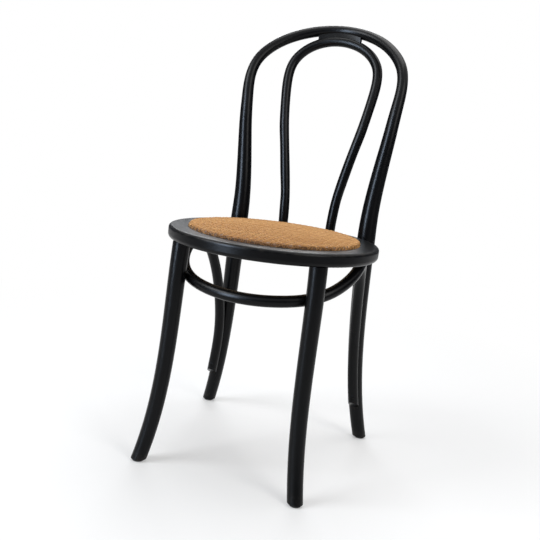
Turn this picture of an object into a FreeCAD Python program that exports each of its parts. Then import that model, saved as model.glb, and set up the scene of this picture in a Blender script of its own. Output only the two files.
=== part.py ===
import FreeCAD, Part
import math
import os

# Bentwood bistro chair, millimetres, +Z up. The front faces -Y, left and right are as seen from the front.
# Everything is built about the centre of the seat ring and moved at the end, so that the origin lies on the
# floor under the middle of the chair.

Vector = FreeCAD.Vector
UP = Vector(0, 0, 1)

# Seat ring: one bent beech ring, open in the middle, with a rebate for the seat insert
seat_frame_height = 452.5
ring_radius = 207.0
ring_thickness = 25.0
ring_top_round = 6.0
ring_bottom_round = 8.0
ring_rim_width = 38.0
rebate_depth = 8.5
lip_width = 9.0
lip_round = 2.0

# Seat insert: plywood panel, crowned pad and woven cane cover turned in under the panel
panel_thickness = 6.0
cane_thickness = 1.6
insert_clearance = 0.4
layer_clearance = 0.25
cover_wall_rise = 1.5
cover_shoulder = 5.0
crown_rise = 8.0
cover_turn_in = 20.0

# Back bow: rear legs and outer back in one bent rod
bow_top_height = 899.0
bow_crown_diameter = 22.6
bow_seat_diameter = 38.0
bow_foot_diameter = 29.0
bow_let_in = 0.6
bow_angle = 49.4
bow_half_width = 169.0
bow_crown_rise = 113.0
bow_crown_power = 1.06
bow_seat_flare = -0.038
bow_lean = 20.0
bow_setback = 122.7
bow_sweep_power = 6
rear_foot_out = 41.5
rear_foot_back = 34.2
rear_foot_flare = 0.256
rear_foot_rake = 0.151

# Inner bow: lapped on the back of the ring and ending level with its underside
inner_diameter = 21.2
inner_let_in = 0.8
inner_angle = 75.2
inner_half_width = 101.4
inner_crown_rise = 77.7
inner_lean_power = 1.85

# Crest block between the crowns of the two bows
crest_gap = 3.6
crest_lean = 17.0
crest_length = 96.0
crest_width = 15.0
crest_recess = 0.15

# Front legs: tenoned up into the ring
front_leg_angle = 45.6
front_leg_inset = 19.0
front_leg_top_diameter = 33.5
front_leg_foot_diameter = 29.2
front_foot_out = 26.7
front_foot_forward = 43.8
front_foot_flare = 0.325
front_top_flare = 0.062
tenon_diameter = 22.0
tenon_length = 18.0
tenon_clearance = 0.15
tenon_end_gap = 1.0

# Brace: one long bent rod, from a rear leg over the ring's side, round the front legs and back
brace_diameter = 22.0
brace_drop = 77.8
brace_leg_rise = 7.8
brace_hoop_back = 27.5
brace_hoop_end = 5.4
brace_hoop_slope = 0.13
brace_peak_angle = 9.8
brace_peak_inset = 31.0
brace_end_height = 88.0
brace_touch_height = 168.0
brace_side_turn = -3.0
brace_climb_start = 1.47
brace_climb_end = 0.64
brace_arch_start = 0.58
brace_arch_end = 1.07
brace_end_slope = 35.0
rod_clearance = 0.45
ring_seat_clearance = 0.35

# Glides under the four feet
glide_diameter = 22.0
glide_thickness = 4.5
glide_round = 1.2
glide_nail_diameter = 2.4
glide_nail_length = 16.0
glide_nail_head_diameter = 6.0
glide_nail_head_thickness = 1.2

# Carriage bolts, washers and nuts that hold the rear legs to the ring
bolt_diameter = 8.0
bolt_head_diameter = 18.0
bolt_head_thickness = 4.4
bolt_neck_length = 4.0
bolt_head_stand = 1.6
bolt_height_in_ring = 8.25
bolt_tip = 3.0
washer_diameter = 15.0
washer_thickness = 1.6
nut_across_flats = 13.0
nut_thickness = 6.4
fastener_clearance = 0.2
washer_seat_depth = 1.2

# Wood screws: shank and head diameters, then a length for each place
screw_diameter = 4.5
screw_head_diameter = 8.6
screw_head_height = 2.8
screw_point = 5.0
screw_sink = 0.8
recess_width = 1.1
recess_span = 5.0
recess_depth = 1.8
brace_leg_screw_length = 38.0
brace_ring_screw_length = 38.0
inner_bow_screw_length = 45.0
crest_screw_length = 34.0
crest_screw_spacing = 56.0
leg_lock_screw_length = 38.0
leg_lock_height = 8.0
rear_screw_height = 22.0
seat_screw_length = 22.0
seat_screw_angle = 25.0

# Staples that hold the turned-in edge of the cane
staple_count = 24
staple_crown = 10.0
staple_leg = 6.0
staple_wire = 0.9
staple_inset = 4.5

# Levels and radii that follow from the sizes above
ring_bottom = seat_frame_height - ring_thickness
rebate_floor = seat_frame_height - rebate_depth
rebate_radius = ring_radius - ring_rim_width
lip_radius = rebate_radius - lip_width
bow_apex_z = bow_top_height - bow_crown_diameter / 2
bow_wide_z = bow_apex_z - bow_crown_rise
bow_joint_radius = ring_radius + bow_seat_diameter / 2 - bow_let_in
inner_joint_radius = ring_radius + inner_diameter / 2 - inner_let_in
crest_step = bow_crown_diameter / 2 + crest_gap + inner_diameter / 2
brace_z = ring_bottom - brace_drop
brace_radius = brace_diameter / 2
cover_radius = rebate_radius - insert_clearance
panel_radius = cover_radius - cane_thickness - layer_clearance
panel_bottom = rebate_floor + cane_thickness
panel_top = panel_bottom + panel_thickness


def polar(radius, degrees, z=0.0):
    """Point at a radius and an angle from +X, at height z."""
    turn = math.radians(degrees)
    return Vector(radius * math.cos(turn), radius * math.sin(turn), z)


def blend(t, start, start_slope, end, end_slope, span):
    """Cubic through two values with given slopes, span being the length that the slopes refer to."""
    a = 2 * t ** 3 - 3 * t ** 2 + 1
    b = t ** 3 - 2 * t ** 2 + t
    c = -2 * t ** 3 + 3 * t ** 2
    d = t ** 3 - t ** 2
    return a * start + b * start_slope * span + c * end + d * end_slope * span


def mirrored(point):
    """The same point on the other side of the chair."""
    return Vector(-point.x, point.y, point.z)


def bow_seat_point():
    """Axis of the rear leg at the level of the ring's top."""
    return polar(bow_joint_radius, bow_angle, seat_frame_height)


def rear_leg_point(z):
    """Axis of the right rear leg at height z, from the floor to the ring's top."""
    seat = bow_seat_point()
    t = z / seat_frame_height
    foot_x = seat.x + rear_foot_out
    foot_y = seat.y + rear_foot_back
    x = blend(t, foot_x, -rear_foot_flare, seat.x, bow_seat_flare, seat_frame_height)
    y = blend(t, foot_y, -rear_foot_rake, seat.y, 0.0, seat_frame_height)
    return Vector(x, y, z)


def rear_leg_radius(z):
    """Radius of the rear leg at height z."""
    t = z / seat_frame_height
    return (bow_foot_diameter + (bow_seat_diameter - bow_foot_diameter) * t) / 2


def bow_depth(z):
    """Depth of the back bow's axis above the seat: a small even lean and a late sweep to the rear."""
    t = (z - seat_frame_height) / (bow_apex_z - seat_frame_height)
    sweep = bow_setback - bow_lean
    return bow_seat_point().y + bow_lean * t + sweep * t ** bow_sweep_power


def bow_radius(z):
    """Radius of the back bow above the seat."""
    t = min((z - seat_frame_height) / (bow_wide_z - seat_frame_height), 1.0)
    taper = bow_seat_diameter - bow_crown_diameter
    return (bow_seat_diameter - taper * t) / 2


def bow_crown_point(turn):
    """Axis of the back bow's crown at an angle from the widest point to the top."""
    z = bow_wide_z + bow_crown_rise * math.sin(turn) ** bow_crown_power
    return Vector(bow_half_width * math.cos(turn), bow_depth(z), z)


def back_bow_stations(grow=0.0):
    """Points and radii of the whole back bow, from the left foot over the crown to the right foot."""
    half = []
    leg_steps = 8
    for i in range(-1, leg_steps):
        z = seat_frame_height * i / leg_steps
        half.append((rear_leg_point(z), rear_leg_radius(z)))
    upright_steps = 6
    rise = bow_wide_z - seat_frame_height
    seat = bow_seat_point()
    for i in range(upright_steps):
        t = i / upright_steps
        z = seat_frame_height + rise * t
        x = blend(t, seat.x, bow_seat_flare, bow_half_width, 0.0, rise)
        half.append((Vector(x, bow_depth(z), z), bow_radius(z)))
    crown_steps = 5
    for i in range(crown_steps):
        half.append((bow_crown_point(math.pi / 2 * i / crown_steps), bow_crown_diameter / 2))
    apex = (Vector(0, bow_depth(bow_apex_z), bow_apex_z), bow_crown_diameter / 2)
    left = [(mirrored(point), radius) for point, radius in half]
    stations = left + [apex] + half[::-1]
    return [(point, radius + grow) for point, radius in stations]


def inner_apex():
    """Top of the inner bow's axis, hung from the back bow's apex by the crest gap."""
    lean = math.radians(crest_lean)
    y = bow_depth(bow_apex_z) - crest_step * math.sin(lean)
    return Vector(0, y, bow_apex_z - crest_step * math.cos(lean))


def inner_seat_point():
    """Axis of the inner bow's right end at the level of the ring's top."""
    return polar(inner_joint_radius, inner_angle, seat_frame_height)


def inner_depth(z):
    """Depth of the inner bow's axis at height z."""
    seat, apex = inner_seat_point(), inner_apex()
    t = max((z - seat.z) / (apex.z - seat.z), 0.0)
    return seat.y + (apex.y - seat.y) * t ** inner_lean_power


def inner_crown_point(turn):
    """Axis of the inner bow's crown at an angle from the widest point to the top."""
    z = inner_apex().z + inner_crown_rise * (math.sin(turn) - 1)
    return Vector(inner_half_width * math.cos(turn), inner_depth(z), z)


def inner_bow_stations(grow=0.0):
    """Points and radii of the inner bow, from its left end over the crown to its right end."""
    seat = inner_seat_point()
    half = []
    end_steps = 2
    for i in range(end_steps):
        z = ring_bottom - inner_diameter / 2 + (ring_thickness + inner_diameter / 2) * i / end_steps
        half.append(Vector(seat.x, seat.y, z))
    upright_steps = 7
    rise = inner_apex().z - inner_crown_rise - seat.z
    for i in range(upright_steps):
        t = i / upright_steps
        z = seat.z + rise * t
        half.append(Vector(blend(t, seat.x, 0.0, inner_half_width, 0.0, rise), inner_depth(z), z))
    crown_steps = 4
    for i in range(crown_steps):
        half.append(inner_crown_point(math.pi / 2 * i / crown_steps))
    points = [mirrored(point) for point in half] + [inner_apex()] + half[::-1]
    return [(point, inner_diameter / 2 + grow) for point in points]


def front_leg_point(z):
    """Axis of the right front leg at height z, from the floor to the ring's underside."""
    top = polar(ring_radius - front_leg_inset, front_leg_angle - 90)
    foot_x = top.x + front_foot_out
    foot_y = top.y - front_foot_forward
    outward = Vector(foot_x, foot_y, 0).normalize()
    t = z / ring_bottom
    foot_slope = outward * -front_foot_flare
    top_slope = outward * -front_top_flare
    x = blend(t, foot_x, foot_slope.x, top.x, top_slope.x, ring_bottom)
    y = blend(t, foot_y, foot_slope.y, top.y, top_slope.y, ring_bottom)
    return Vector(x, y, z)


def front_leg_radius(z):
    """Radius of a front leg at height z."""
    t = z / ring_bottom
    return (front_leg_foot_diameter + (front_leg_top_diameter - front_leg_foot_diameter) * t) / 2


def hoop_size():
    """Radius of the brace's front arc, which would clear the front legs, and half the angle it spans."""
    leg = front_leg_point(brace_z + brace_leg_rise)
    across, back = leg.x, leg.y - brace_hoop_back
    radius = math.hypot(across, back) - front_leg_radius(leg.z) - brace_radius - rod_clearance
    return radius, math.degrees(math.atan2(across, -back)) - brace_hoop_end


def hoop_point(part):
    """Axis of the brace's front arc, from its middle (0) to its right end (1)."""
    radius, half_angle = hoop_size()
    point = polar(radius, half_angle * part - 90, brace_z + brace_leg_rise * part ** 2)
    return point + Vector(0, brace_hoop_back, 0)


def brace_peak():
    """Point of the brace's axis under the right side of the ring."""
    z = ring_bottom - brace_radius - rod_clearance
    return polar(ring_radius - brace_peak_inset, brace_peak_angle, z)


def beside_rear_leg(z):
    """Axis of the brace where it lies against the front of the right rear leg."""
    leg = rear_leg_point(z)
    along = (rear_leg_point(z + 1) - leg).normalize()
    side = polar(1, -90 - brace_side_turn)
    side = (side - along * side.dot(along)).normalize()
    return leg + side * (rear_leg_radius(z) + brace_radius + rod_clearance)


def climb_point(t):
    """Axis of the brace between the end of its front arc (0) and the ring's underside (1)."""
    start, peak = hoop_point(1), brace_peak()
    climb = (peak - start).Length
    leave = polar(1, hoop_size()[1]) + UP * brace_hoop_slope
    leave = leave.normalize() * climb * brace_climb_start
    arrive = polar(climb * brace_climb_end, brace_peak_angle + 90)
    return blend(t, start, leave, peak, arrive, 1.0)


def arch_point(t):
    """Axis of the brace between the ring's underside (0) and the place where it meets the rear leg (1)."""
    peak, touch = brace_peak(), beside_rear_leg(brace_touch_height)
    drop = (touch - peak).Length
    leave = polar(drop * brace_arch_start, brace_peak_angle + 90)
    arrive = (touch - beside_rear_leg(brace_touch_height + 1)).normalize() * drop * brace_arch_end
    return blend(t, peak, leave, touch, arrive, 1.0)


def brace_at_front_leg():
    """Point of the brace's axis nearest to the right front leg, and the direction to the leg's axis."""
    tries = [climb_point(i / 200) for i in range(100)]
    nearest = min(tries, key=lambda point: (front_leg_point(point.z) - point).Length)
    return nearest, (front_leg_point(nearest.z) - nearest).normalize()


def brace_stations():
    """Points and radii of the brace, from its left rear end to its right rear end, each end too long."""
    hoop_steps = 4
    climb_steps = 4
    arch_steps = 6
    leg_steps = 3
    half = [hoop_point(i / hoop_steps) for i in range(hoop_steps)]
    half += [climb_point(i / climb_steps) for i in range(climb_steps)]
    half += [arch_point(i / arch_steps) for i in range(arch_steps)]
    low = brace_end_height - brace_diameter
    for i in range(leg_steps + 1):
        half.append(beside_rear_leg(brace_touch_height + (low - brace_touch_height) * i / leg_steps))
    points = [mirrored(point) for point in half[:0:-1]] + half
    return [(point, brace_radius) for point in points]


def rod(stations):
    """Round rod lofted through circles square to the line of the stations."""
    points = [point for point, radius in stations]
    sections = []
    across = None
    for i, (point, radius) in enumerate(stations):
        before = points[max(i - 1, 0)]
        after = points[min(i + 1, len(points) - 1)]
        along = (after - before).normalize()
        if across is None:
            across = along.cross(Vector(0, 1, 0))
        across = (across - along * across.dot(along)).normalize()
        circle = Part.Wire([Part.makeCircle(radius)])
        turn = FreeCAD.Rotation(across, along.cross(across), along, "ZXY")
        circle.Placement = FreeCAD.Placement(point, turn)
        sections.append(circle)
    return Part.makeLoft(sections, True, False)


def box_between(low, high):
    """Box from its lowest to its highest corner."""
    size = high - low
    return Part.makeBox(size.x, size.y, size.z, low)


def slab(z_low, z_high):
    """Wide flat box between two heights, for level cuts."""
    reach = 4 * ring_radius
    return box_between(Vector(-reach, -reach, z_low), Vector(reach, reach, z_high))


def aimed(shape, start, along):
    """Shape made along +Z from the origin, moved to start and turned to point along a direction."""
    turned = shape.copy()
    turned.Placement = FreeCAD.Placement(start, FreeCAD.Rotation(UP, along))
    return turned


def screw_body(length, grow=0.0):
    """Countersunk screw without its recess: head face at the origin, point up +Z."""
    shank = screw_diameter / 2 + grow
    head = screw_head_diameter / 2 + grow
    profile = Part.makePolygon([
        Vector(0, 0, -grow),
        Vector(head, 0, -grow),
        Vector(head, 0, 0.5),
        Vector(shank, 0, screw_head_height + 0.5),
        Vector(shank, 0, length - screw_point),
        Vector(0, 0, length + grow),
        Vector(0, 0, -grow),
    ])
    return Part.Face(profile).revolve(Vector(0, 0, 0), UP, 360)


def screw(length):
    """Countersunk screw with a cross recess, pointing up +Z."""
    half_width = recess_width / 2
    half_span = recess_span / 2
    slot = box_between(Vector(-half_span, -half_width, -1), Vector(half_span, half_width, recess_depth))
    cross = slot.fuse(box_between(Vector(-half_width, -half_span, -1),
                                  Vector(half_width, half_span, recess_depth)))
    return screw_body(length).cut(cross)


def screw_set(places, length):
    """Screws and their holes at a list of (start, direction) places."""
    screws = []
    holes = []
    for start, along in places:
        screws.append(aimed(screw(length), start, along))
        holes.append(aimed(screw_body(length, fastener_clearance), start, along))
        sunk = Part.makeCylinder(screw_head_diameter / 2 + fastener_clearance, 3 * screw_sink)
        holes.append(aimed(sunk, start - along * 3 * screw_sink, along))
    return screws, holes


def both_sides(places):
    """A list of (start, direction) places and its mirror image."""
    return places + [(mirrored(start), mirrored(along)) for start, along in places]


def ring_blank():
    """Seat ring before any joint is cut, as a turned section."""
    r, top, low = ring_radius, seat_frame_height, ring_bottom
    a, b, c = ring_top_round, ring_bottom_round, lip_round
    bend = 1 - math.sqrt(0.5)

    def arc(start, middle, end):
        return Part.Arc(Vector(*start), Vector(*middle), Vector(*end)).toShape()

    def line(start, end):
        return Part.makeLine(Vector(*start), Vector(*end))

    inner = rebate_radius
    lip = lip_radius
    edges = [
        line((inner + c, 0, top), (r - a, 0, top)),
        arc((r - a, 0, top), (r - a * bend, 0, top - a * bend), (r, 0, top - a)),
        line((r, 0, top - a), (r, 0, low + b)),
        arc((r, 0, low + b), (r - b * bend, 0, low + b * bend), (r - b, 0, low)),
        line((r - b, 0, low), (lip + c, 0, low)),
        arc((lip + c, 0, low), (lip + c * bend, 0, low + c * bend), (lip, 0, low + c)),
        line((lip, 0, low + c), (lip, 0, rebate_floor)),
        line((lip, 0, rebate_floor), (inner, 0, rebate_floor)),
        line((inner, 0, rebate_floor), (inner, 0, top - c)),
        arc((inner, 0, top - c), (inner + c * bend, 0, top - c * bend), (inner + c, 0, top)),
    ]
    return Part.Face(Part.Wire(edges)).revolve(Vector(0, 0, 0), UP, 360)


def dome_outline(offset):
    """Right half of the crown's line from the wall to the axis, moved inwards by an offset."""
    wall = cover_radius
    turn_z = seat_frame_height + cover_wall_rise
    centre_r = wall - cover_shoulder
    crown_reach = centre_r
    crown_radius = (crown_reach ** 2 + crown_rise ** 2) / (2 * crown_rise)
    tilt = math.asin(crown_reach / (crown_radius - cover_shoulder))
    crown_centre_z = turn_z - (crown_radius - cover_shoulder) * math.cos(tilt)
    shoulder = cover_shoulder - offset
    crown = crown_radius - offset

    def shoulder_point(angle):
        return Vector(centre_r + shoulder * math.cos(angle), 0, turn_z + shoulder * math.sin(angle))

    meet = math.pi / 2 - tilt
    first = Part.Arc(shoulder_point(0), shoulder_point(meet / 2), shoulder_point(meet)).toShape()
    end = Vector(crown * math.sin(tilt), 0, crown_centre_z + crown * math.cos(tilt))
    middle = Vector(crown * math.sin(tilt / 2), 0, crown_centre_z + crown * math.cos(tilt / 2))
    apex = Vector(0, 0, crown_centre_z + crown)
    second = Part.Arc(end, middle, apex).toShape()
    return shoulder_point(0), [first, second], apex


def pad_solid():
    """Crowned pad that lies on the panel and fills the cover."""
    offset = cane_thickness + layer_clearance
    wall_top, curve, apex = dome_outline(offset)
    foot = Vector(wall_top.x, 0, panel_top)
    axis_foot = Vector(0, 0, panel_top)
    edges = [Part.makeLine(axis_foot, foot), Part.makeLine(foot, wall_top)] + curve
    edges.append(Part.makeLine(apex, axis_foot))
    return Part.Face(Part.Wire(edges)).revolve(Vector(0, 0, 0), UP, 360)


def cover_solid():
    """Woven cover: crown, wall and the edge that is turned in under the panel."""
    outer_top, outer_curve, outer_apex = dome_outline(0.0)
    inner_top, inner_curve, inner_apex_point = dome_outline(cane_thickness)
    turn_r = cover_radius - cover_turn_in
    outer_foot = Vector(outer_top.x, 0, rebate_floor)
    turn_low = Vector(turn_r, 0, rebate_floor)
    turn_high = Vector(turn_r, 0, panel_bottom)
    inner_foot = Vector(inner_top.x, 0, panel_bottom)
    edges = [
        Part.makeLine(turn_high, turn_low),
        Part.makeLine(turn_low, outer_foot),
        Part.makeLine(outer_foot, outer_top),
        *outer_curve,
        Part.makeLine(outer_apex, inner_apex_point),
        *inner_curve[::-1],
        Part.makeLine(inner_top, inner_foot),
        Part.makeLine(inner_foot, turn_high),
    ]
    return Part.Face(Part.Wire(edges)).revolve(Vector(0, 0, 0), UP, 360)


def glide_places():
    """Centres of the four feet on the floor."""
    front = front_leg_point(0)
    rear = rear_leg_point(0)
    right = [Vector(front.x, front.y, 0), Vector(rear.x, rear.y, 0)]
    return right + [mirrored(point) for point in right]


def glide_solids():
    """Round glides with a sunk seat for the nail's head."""
    radius = glide_diameter / 2
    glides = []
    for place in glide_places():
        disc = Part.makeCylinder(radius, glide_thickness, place)
        rim = [edge for edge in disc.Edges if edge.Closed and abs(edge.CenterOfMass.z) < 0.01]
        disc = disc.makeFillet(glide_round, rim)
        head = Part.makeCylinder(glide_nail_head_diameter / 2 + fastener_clearance,
                                 2 * glide_nail_head_thickness, place)
        shank = Part.makeCylinder(glide_nail_diameter / 2 + fastener_clearance, glide_thickness, place)
        glides.append(disc.cut(head).cut(shank))
    return glides


def nail_solids(grow=0.0):
    """Nails that hold the glides, heads sunk in them."""
    nails = []
    for place in glide_places():
        seat = place + UP * glide_nail_head_thickness
        head = Part.makeCylinder(glide_nail_head_diameter / 2 + grow, glide_nail_head_thickness, seat)
        shank_length = glide_thickness + glide_nail_length - 2 * glide_nail_head_thickness
        shank_start = seat + UP * glide_nail_head_thickness
        shank = Part.makeCylinder(glide_nail_diameter / 2 + grow, shank_length + grow, shank_start)
        nails.append(head.fuse(shank).removeSplitter())
    return nails


def bolt_axis():
    """Point on the right rear leg's axis at the bolt's height, and the direction into the ring."""
    point = rear_leg_point(ring_bottom + bolt_height_in_ring)
    inward = Vector(-point.x, -point.y, 0).normalize()
    return point, inward


def bolt_lengths():
    """Distances along the bolt from the head's underside: to the washer's seat and to the tip."""
    point, inward = bolt_axis()
    head_seat = rear_leg_radius(point.z) + bolt_head_stand - bolt_head_thickness
    reach = head_seat + math.hypot(point.x, point.y) - lip_radius - washer_seat_depth
    tip = reach + washer_thickness + nut_thickness + bolt_tip
    return head_seat, reach, tip


def dome_head(radius, height):
    """Mushroom head with its flat side at the origin, domed towards -Z."""
    sphere_radius = (radius ** 2 + height ** 2) / (2 * height)
    sphere = Part.makeSphere(sphere_radius, Vector(0, 0, sphere_radius - height))
    keep = box_between(Vector(-radius, -radius, -height), Vector(radius, radius, 0))
    return sphere.common(keep)


def bolt_pieces():
    """Bolts, washers and nuts, with the holes that they need in the bow and the ring."""
    point, inward = bolt_axis()
    head_seat, reach, tip = bolt_lengths()
    clear = fastener_clearance
    neck = bolt_diameter / 2
    shank = Part.makeCylinder(bolt_diameter / 2, tip)
    square = box_between(Vector(-neck, -neck, 0), Vector(neck, neck, bolt_neck_length))
    bolt = dome_head(bolt_head_diameter / 2, bolt_head_thickness).fuse([shank, square]).removeSplitter()
    bolt_hole = Part.makeCylinder(bolt_diameter / 2 + clear, tip)
    corner = neck + clear
    neck_hole = box_between(Vector(-corner, -corner, -clear), Vector(corner, corner, bolt_neck_length + clear))
    head_hole = Part.makeCylinder(bolt_head_diameter / 2 + clear, 4 * bolt_head_thickness,
                                  Vector(0, 0, -4 * bolt_head_thickness))
    washer_seat = Part.makeCylinder(washer_diameter / 2 + clear, 2 * nut_thickness, Vector(0, 0, reach))
    washer = Part.makeCylinder(washer_diameter / 2, washer_thickness, Vector(0, 0, reach))
    washer = washer.cut(Part.makeCylinder(bolt_diameter / 2 + clear, 2 * tip))
    corners = []
    for i in range(7):
        corners.append(polar(nut_across_flats / math.sqrt(3), 60 * i, reach + washer_thickness))
    nut = Part.Face(Part.makePolygon(corners)).extrude(UP * nut_thickness)
    nut = nut.cut(Part.makeCylinder(bolt_diameter / 2 + clear / 2, 2 * tip))
    start = point - inward * head_seat
    found = {"bolt": [], "washer": [], "nut": [], "bow_hole": [], "ring_hole": []}
    for place, along in both_sides([(start, inward)]):
        found["bolt"].append(aimed(bolt, place, along))
        found["washer"].append(aimed(washer, place, along))
        found["nut"].append(aimed(nut, place, along))
        found["bow_hole"] += [aimed(hole, place, along) for hole in (bolt_hole, neck_hole, head_hole)]
        found["ring_hole"] += [aimed(hole, place, along) for hole in (bolt_hole, washer_seat)]
    return found


def staple_solids():
    """Staples driven up through the turned-in cane, round the panel's edge."""
    half = staple_crown / 2
    wire = staple_wire
    crown = box_between(Vector(-wire / 2, -half, -wire), Vector(wire / 2, half, 0))
    staple = crown
    for side in (-1, 1):
        y = side * (half - wire / 2)
        leg = box_between(Vector(-wire / 2, y - wire / 2, 0), Vector(wire / 2, y + wire / 2, staple_leg))
        staple = staple.fuse(leg)
    staple = staple.removeSplitter()
    radius = lip_radius - staple_inset
    staples = []
    for i in range(staple_count):
        placed = staple.copy()
        degrees = 360 * (i + 0.5) / staple_count
        turn = FreeCAD.Rotation(UP, degrees)
        placed.Placement = FreeCAD.Placement(polar(radius, degrees, rebate_floor), turn)
        staples.append(placed)
    return staples


def crown_points(x):
    """Axis points of the inner bow and of the back bow at the same distance from the middle."""
    side = math.copysign(1, x)
    inner = inner_crown_point(math.acos(abs(x) / inner_half_width))
    outer = bow_crown_point(math.acos(abs(x) / bow_half_width))
    return Vector(side * inner.x, inner.y, inner.z), Vector(side * outer.x, outer.y, outer.z)


def crest_block_solid(back_bow_room, inner_bow_room):
    """Block that fills the space between the crowns, cut square at its ends."""
    sections = []
    steps = 4
    for i in range(steps + 1):
        inner, outer = crown_points(crest_length * (i / steps - 0.5))
        side = Vector(1, 0, 0).cross(outer - inner).normalize() * (crest_width / 2)
        corners = [inner - side, inner + side, outer + side, outer - side, inner - side]
        sections.append(Part.makePolygon(corners))
    block = Part.makeLoft(sections, True, False)
    return block.cut(back_bow_room).cut(inner_bow_room)


def crest_screw_places():
    """Screws up through the inner bow and the block into the back bow."""
    inner, outer = crown_points(crest_screw_spacing / 2)
    along = (outer - inner).normalize()
    return both_sides([(inner - along * (inner_diameter / 2 - screw_sink), along)])


def brace_screw_places():
    """Screws from the brace into the front legs, the ring and the rear legs."""
    contact, to_leg = brace_at_front_leg()
    front = (contact - to_leg * (brace_radius - screw_sink), to_leg)
    peak = brace_peak()
    ring = (peak - UP * (brace_radius - screw_sink), UP)
    height = brace_end_height + rear_screw_height
    axis_point = beside_rear_leg(height)
    leg_point = rear_leg_point(height)
    along = (leg_point - axis_point).normalize()
    rear = (axis_point - along * (brace_radius - screw_sink), along)
    return both_sides([front]), both_sides([ring]), both_sides([rear])


def inner_screw_places():
    """Screws through the inner bow's ends into the back of the ring."""
    height = ring_bottom + (rebate_floor - ring_bottom) / 2
    point = polar(inner_joint_radius, inner_angle, height)
    inward = Vector(-point.x, -point.y, 0).normalize()
    start = point - inward * (inner_diameter / 2 - screw_sink)
    return both_sides([(start, inward)])


def lock_screw_places():
    """Screws from the ring's inner face through the front legs' tenons."""
    outward = polar(1, front_leg_angle - 90)
    start = outward * (lip_radius + screw_sink) + UP * (ring_bottom + leg_lock_height)
    return both_sides([(start, outward)])


def seat_screw_places():
    """Screws up through the ring's lip into the panel."""
    places = []
    for degrees in (seat_screw_angle, -seat_screw_angle):
        places.append((polar(lip_radius + lip_width / 2, degrees, ring_bottom + screw_sink), UP))
    return both_sides(places)


def brace_end_cuts():
    """Blocks that cut both rear ends of the brace aslant, shorter on the side away from the leg."""
    end = beside_rear_leg(brace_end_height)
    away = (end - rear_leg_point(brace_end_height)).normalize()
    slope = math.radians(brace_end_slope)
    keep = UP * math.cos(slope) - away * math.sin(slope)
    reach = 3 * brace_radius
    block = box_between(Vector(-reach, -reach, -2 * reach), Vector(reach, reach, 0))
    right = aimed(block, end, keep)
    return [right, right.mirror(Vector(0, 0, 0), Vector(1, 0, 0))]


def front_leg_solid(nail_holes):
    """Right front leg with its round tenon."""
    steps = 6
    stations = []
    for i in range(-1, steps + 2):
        z = ring_bottom * i / steps
        stations.append((front_leg_point(z), front_leg_radius(z)))
    leg = rod(stations).common(slab(glide_thickness, ring_bottom))
    top = polar(ring_radius - front_leg_inset, front_leg_angle - 90, ring_bottom)
    tenon = Part.makeCylinder(tenon_diameter / 2, tenon_length, top)
    return leg.fuse(tenon).cut(nail_holes)


def upright_seat(low, high, radius):
    """Straight room in the ring's edge for an upright whose axis passes through two points."""
    along = (high - low).normalize()
    reach = ring_thickness
    return aimed(Part.makeCylinder(radius + ring_seat_clearance, 3 * reach), low - along * reach, along)


def ring_seats():
    """Room in the ring's edge for both rear legs and both ends of the inner bow."""
    leg = upright_seat(rear_leg_point(ring_bottom), bow_seat_point(), bow_seat_diameter / 2)
    inner_seat = inner_seat_point()
    inner = upright_seat(inner_seat - UP * ring_thickness, inner_seat, inner_diameter / 2)
    seats = []
    for seat in (leg, inner):
        seats += [seat, seat.mirror(Vector(0, 0, 0), Vector(1, 0, 0))]
    return seats


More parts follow.
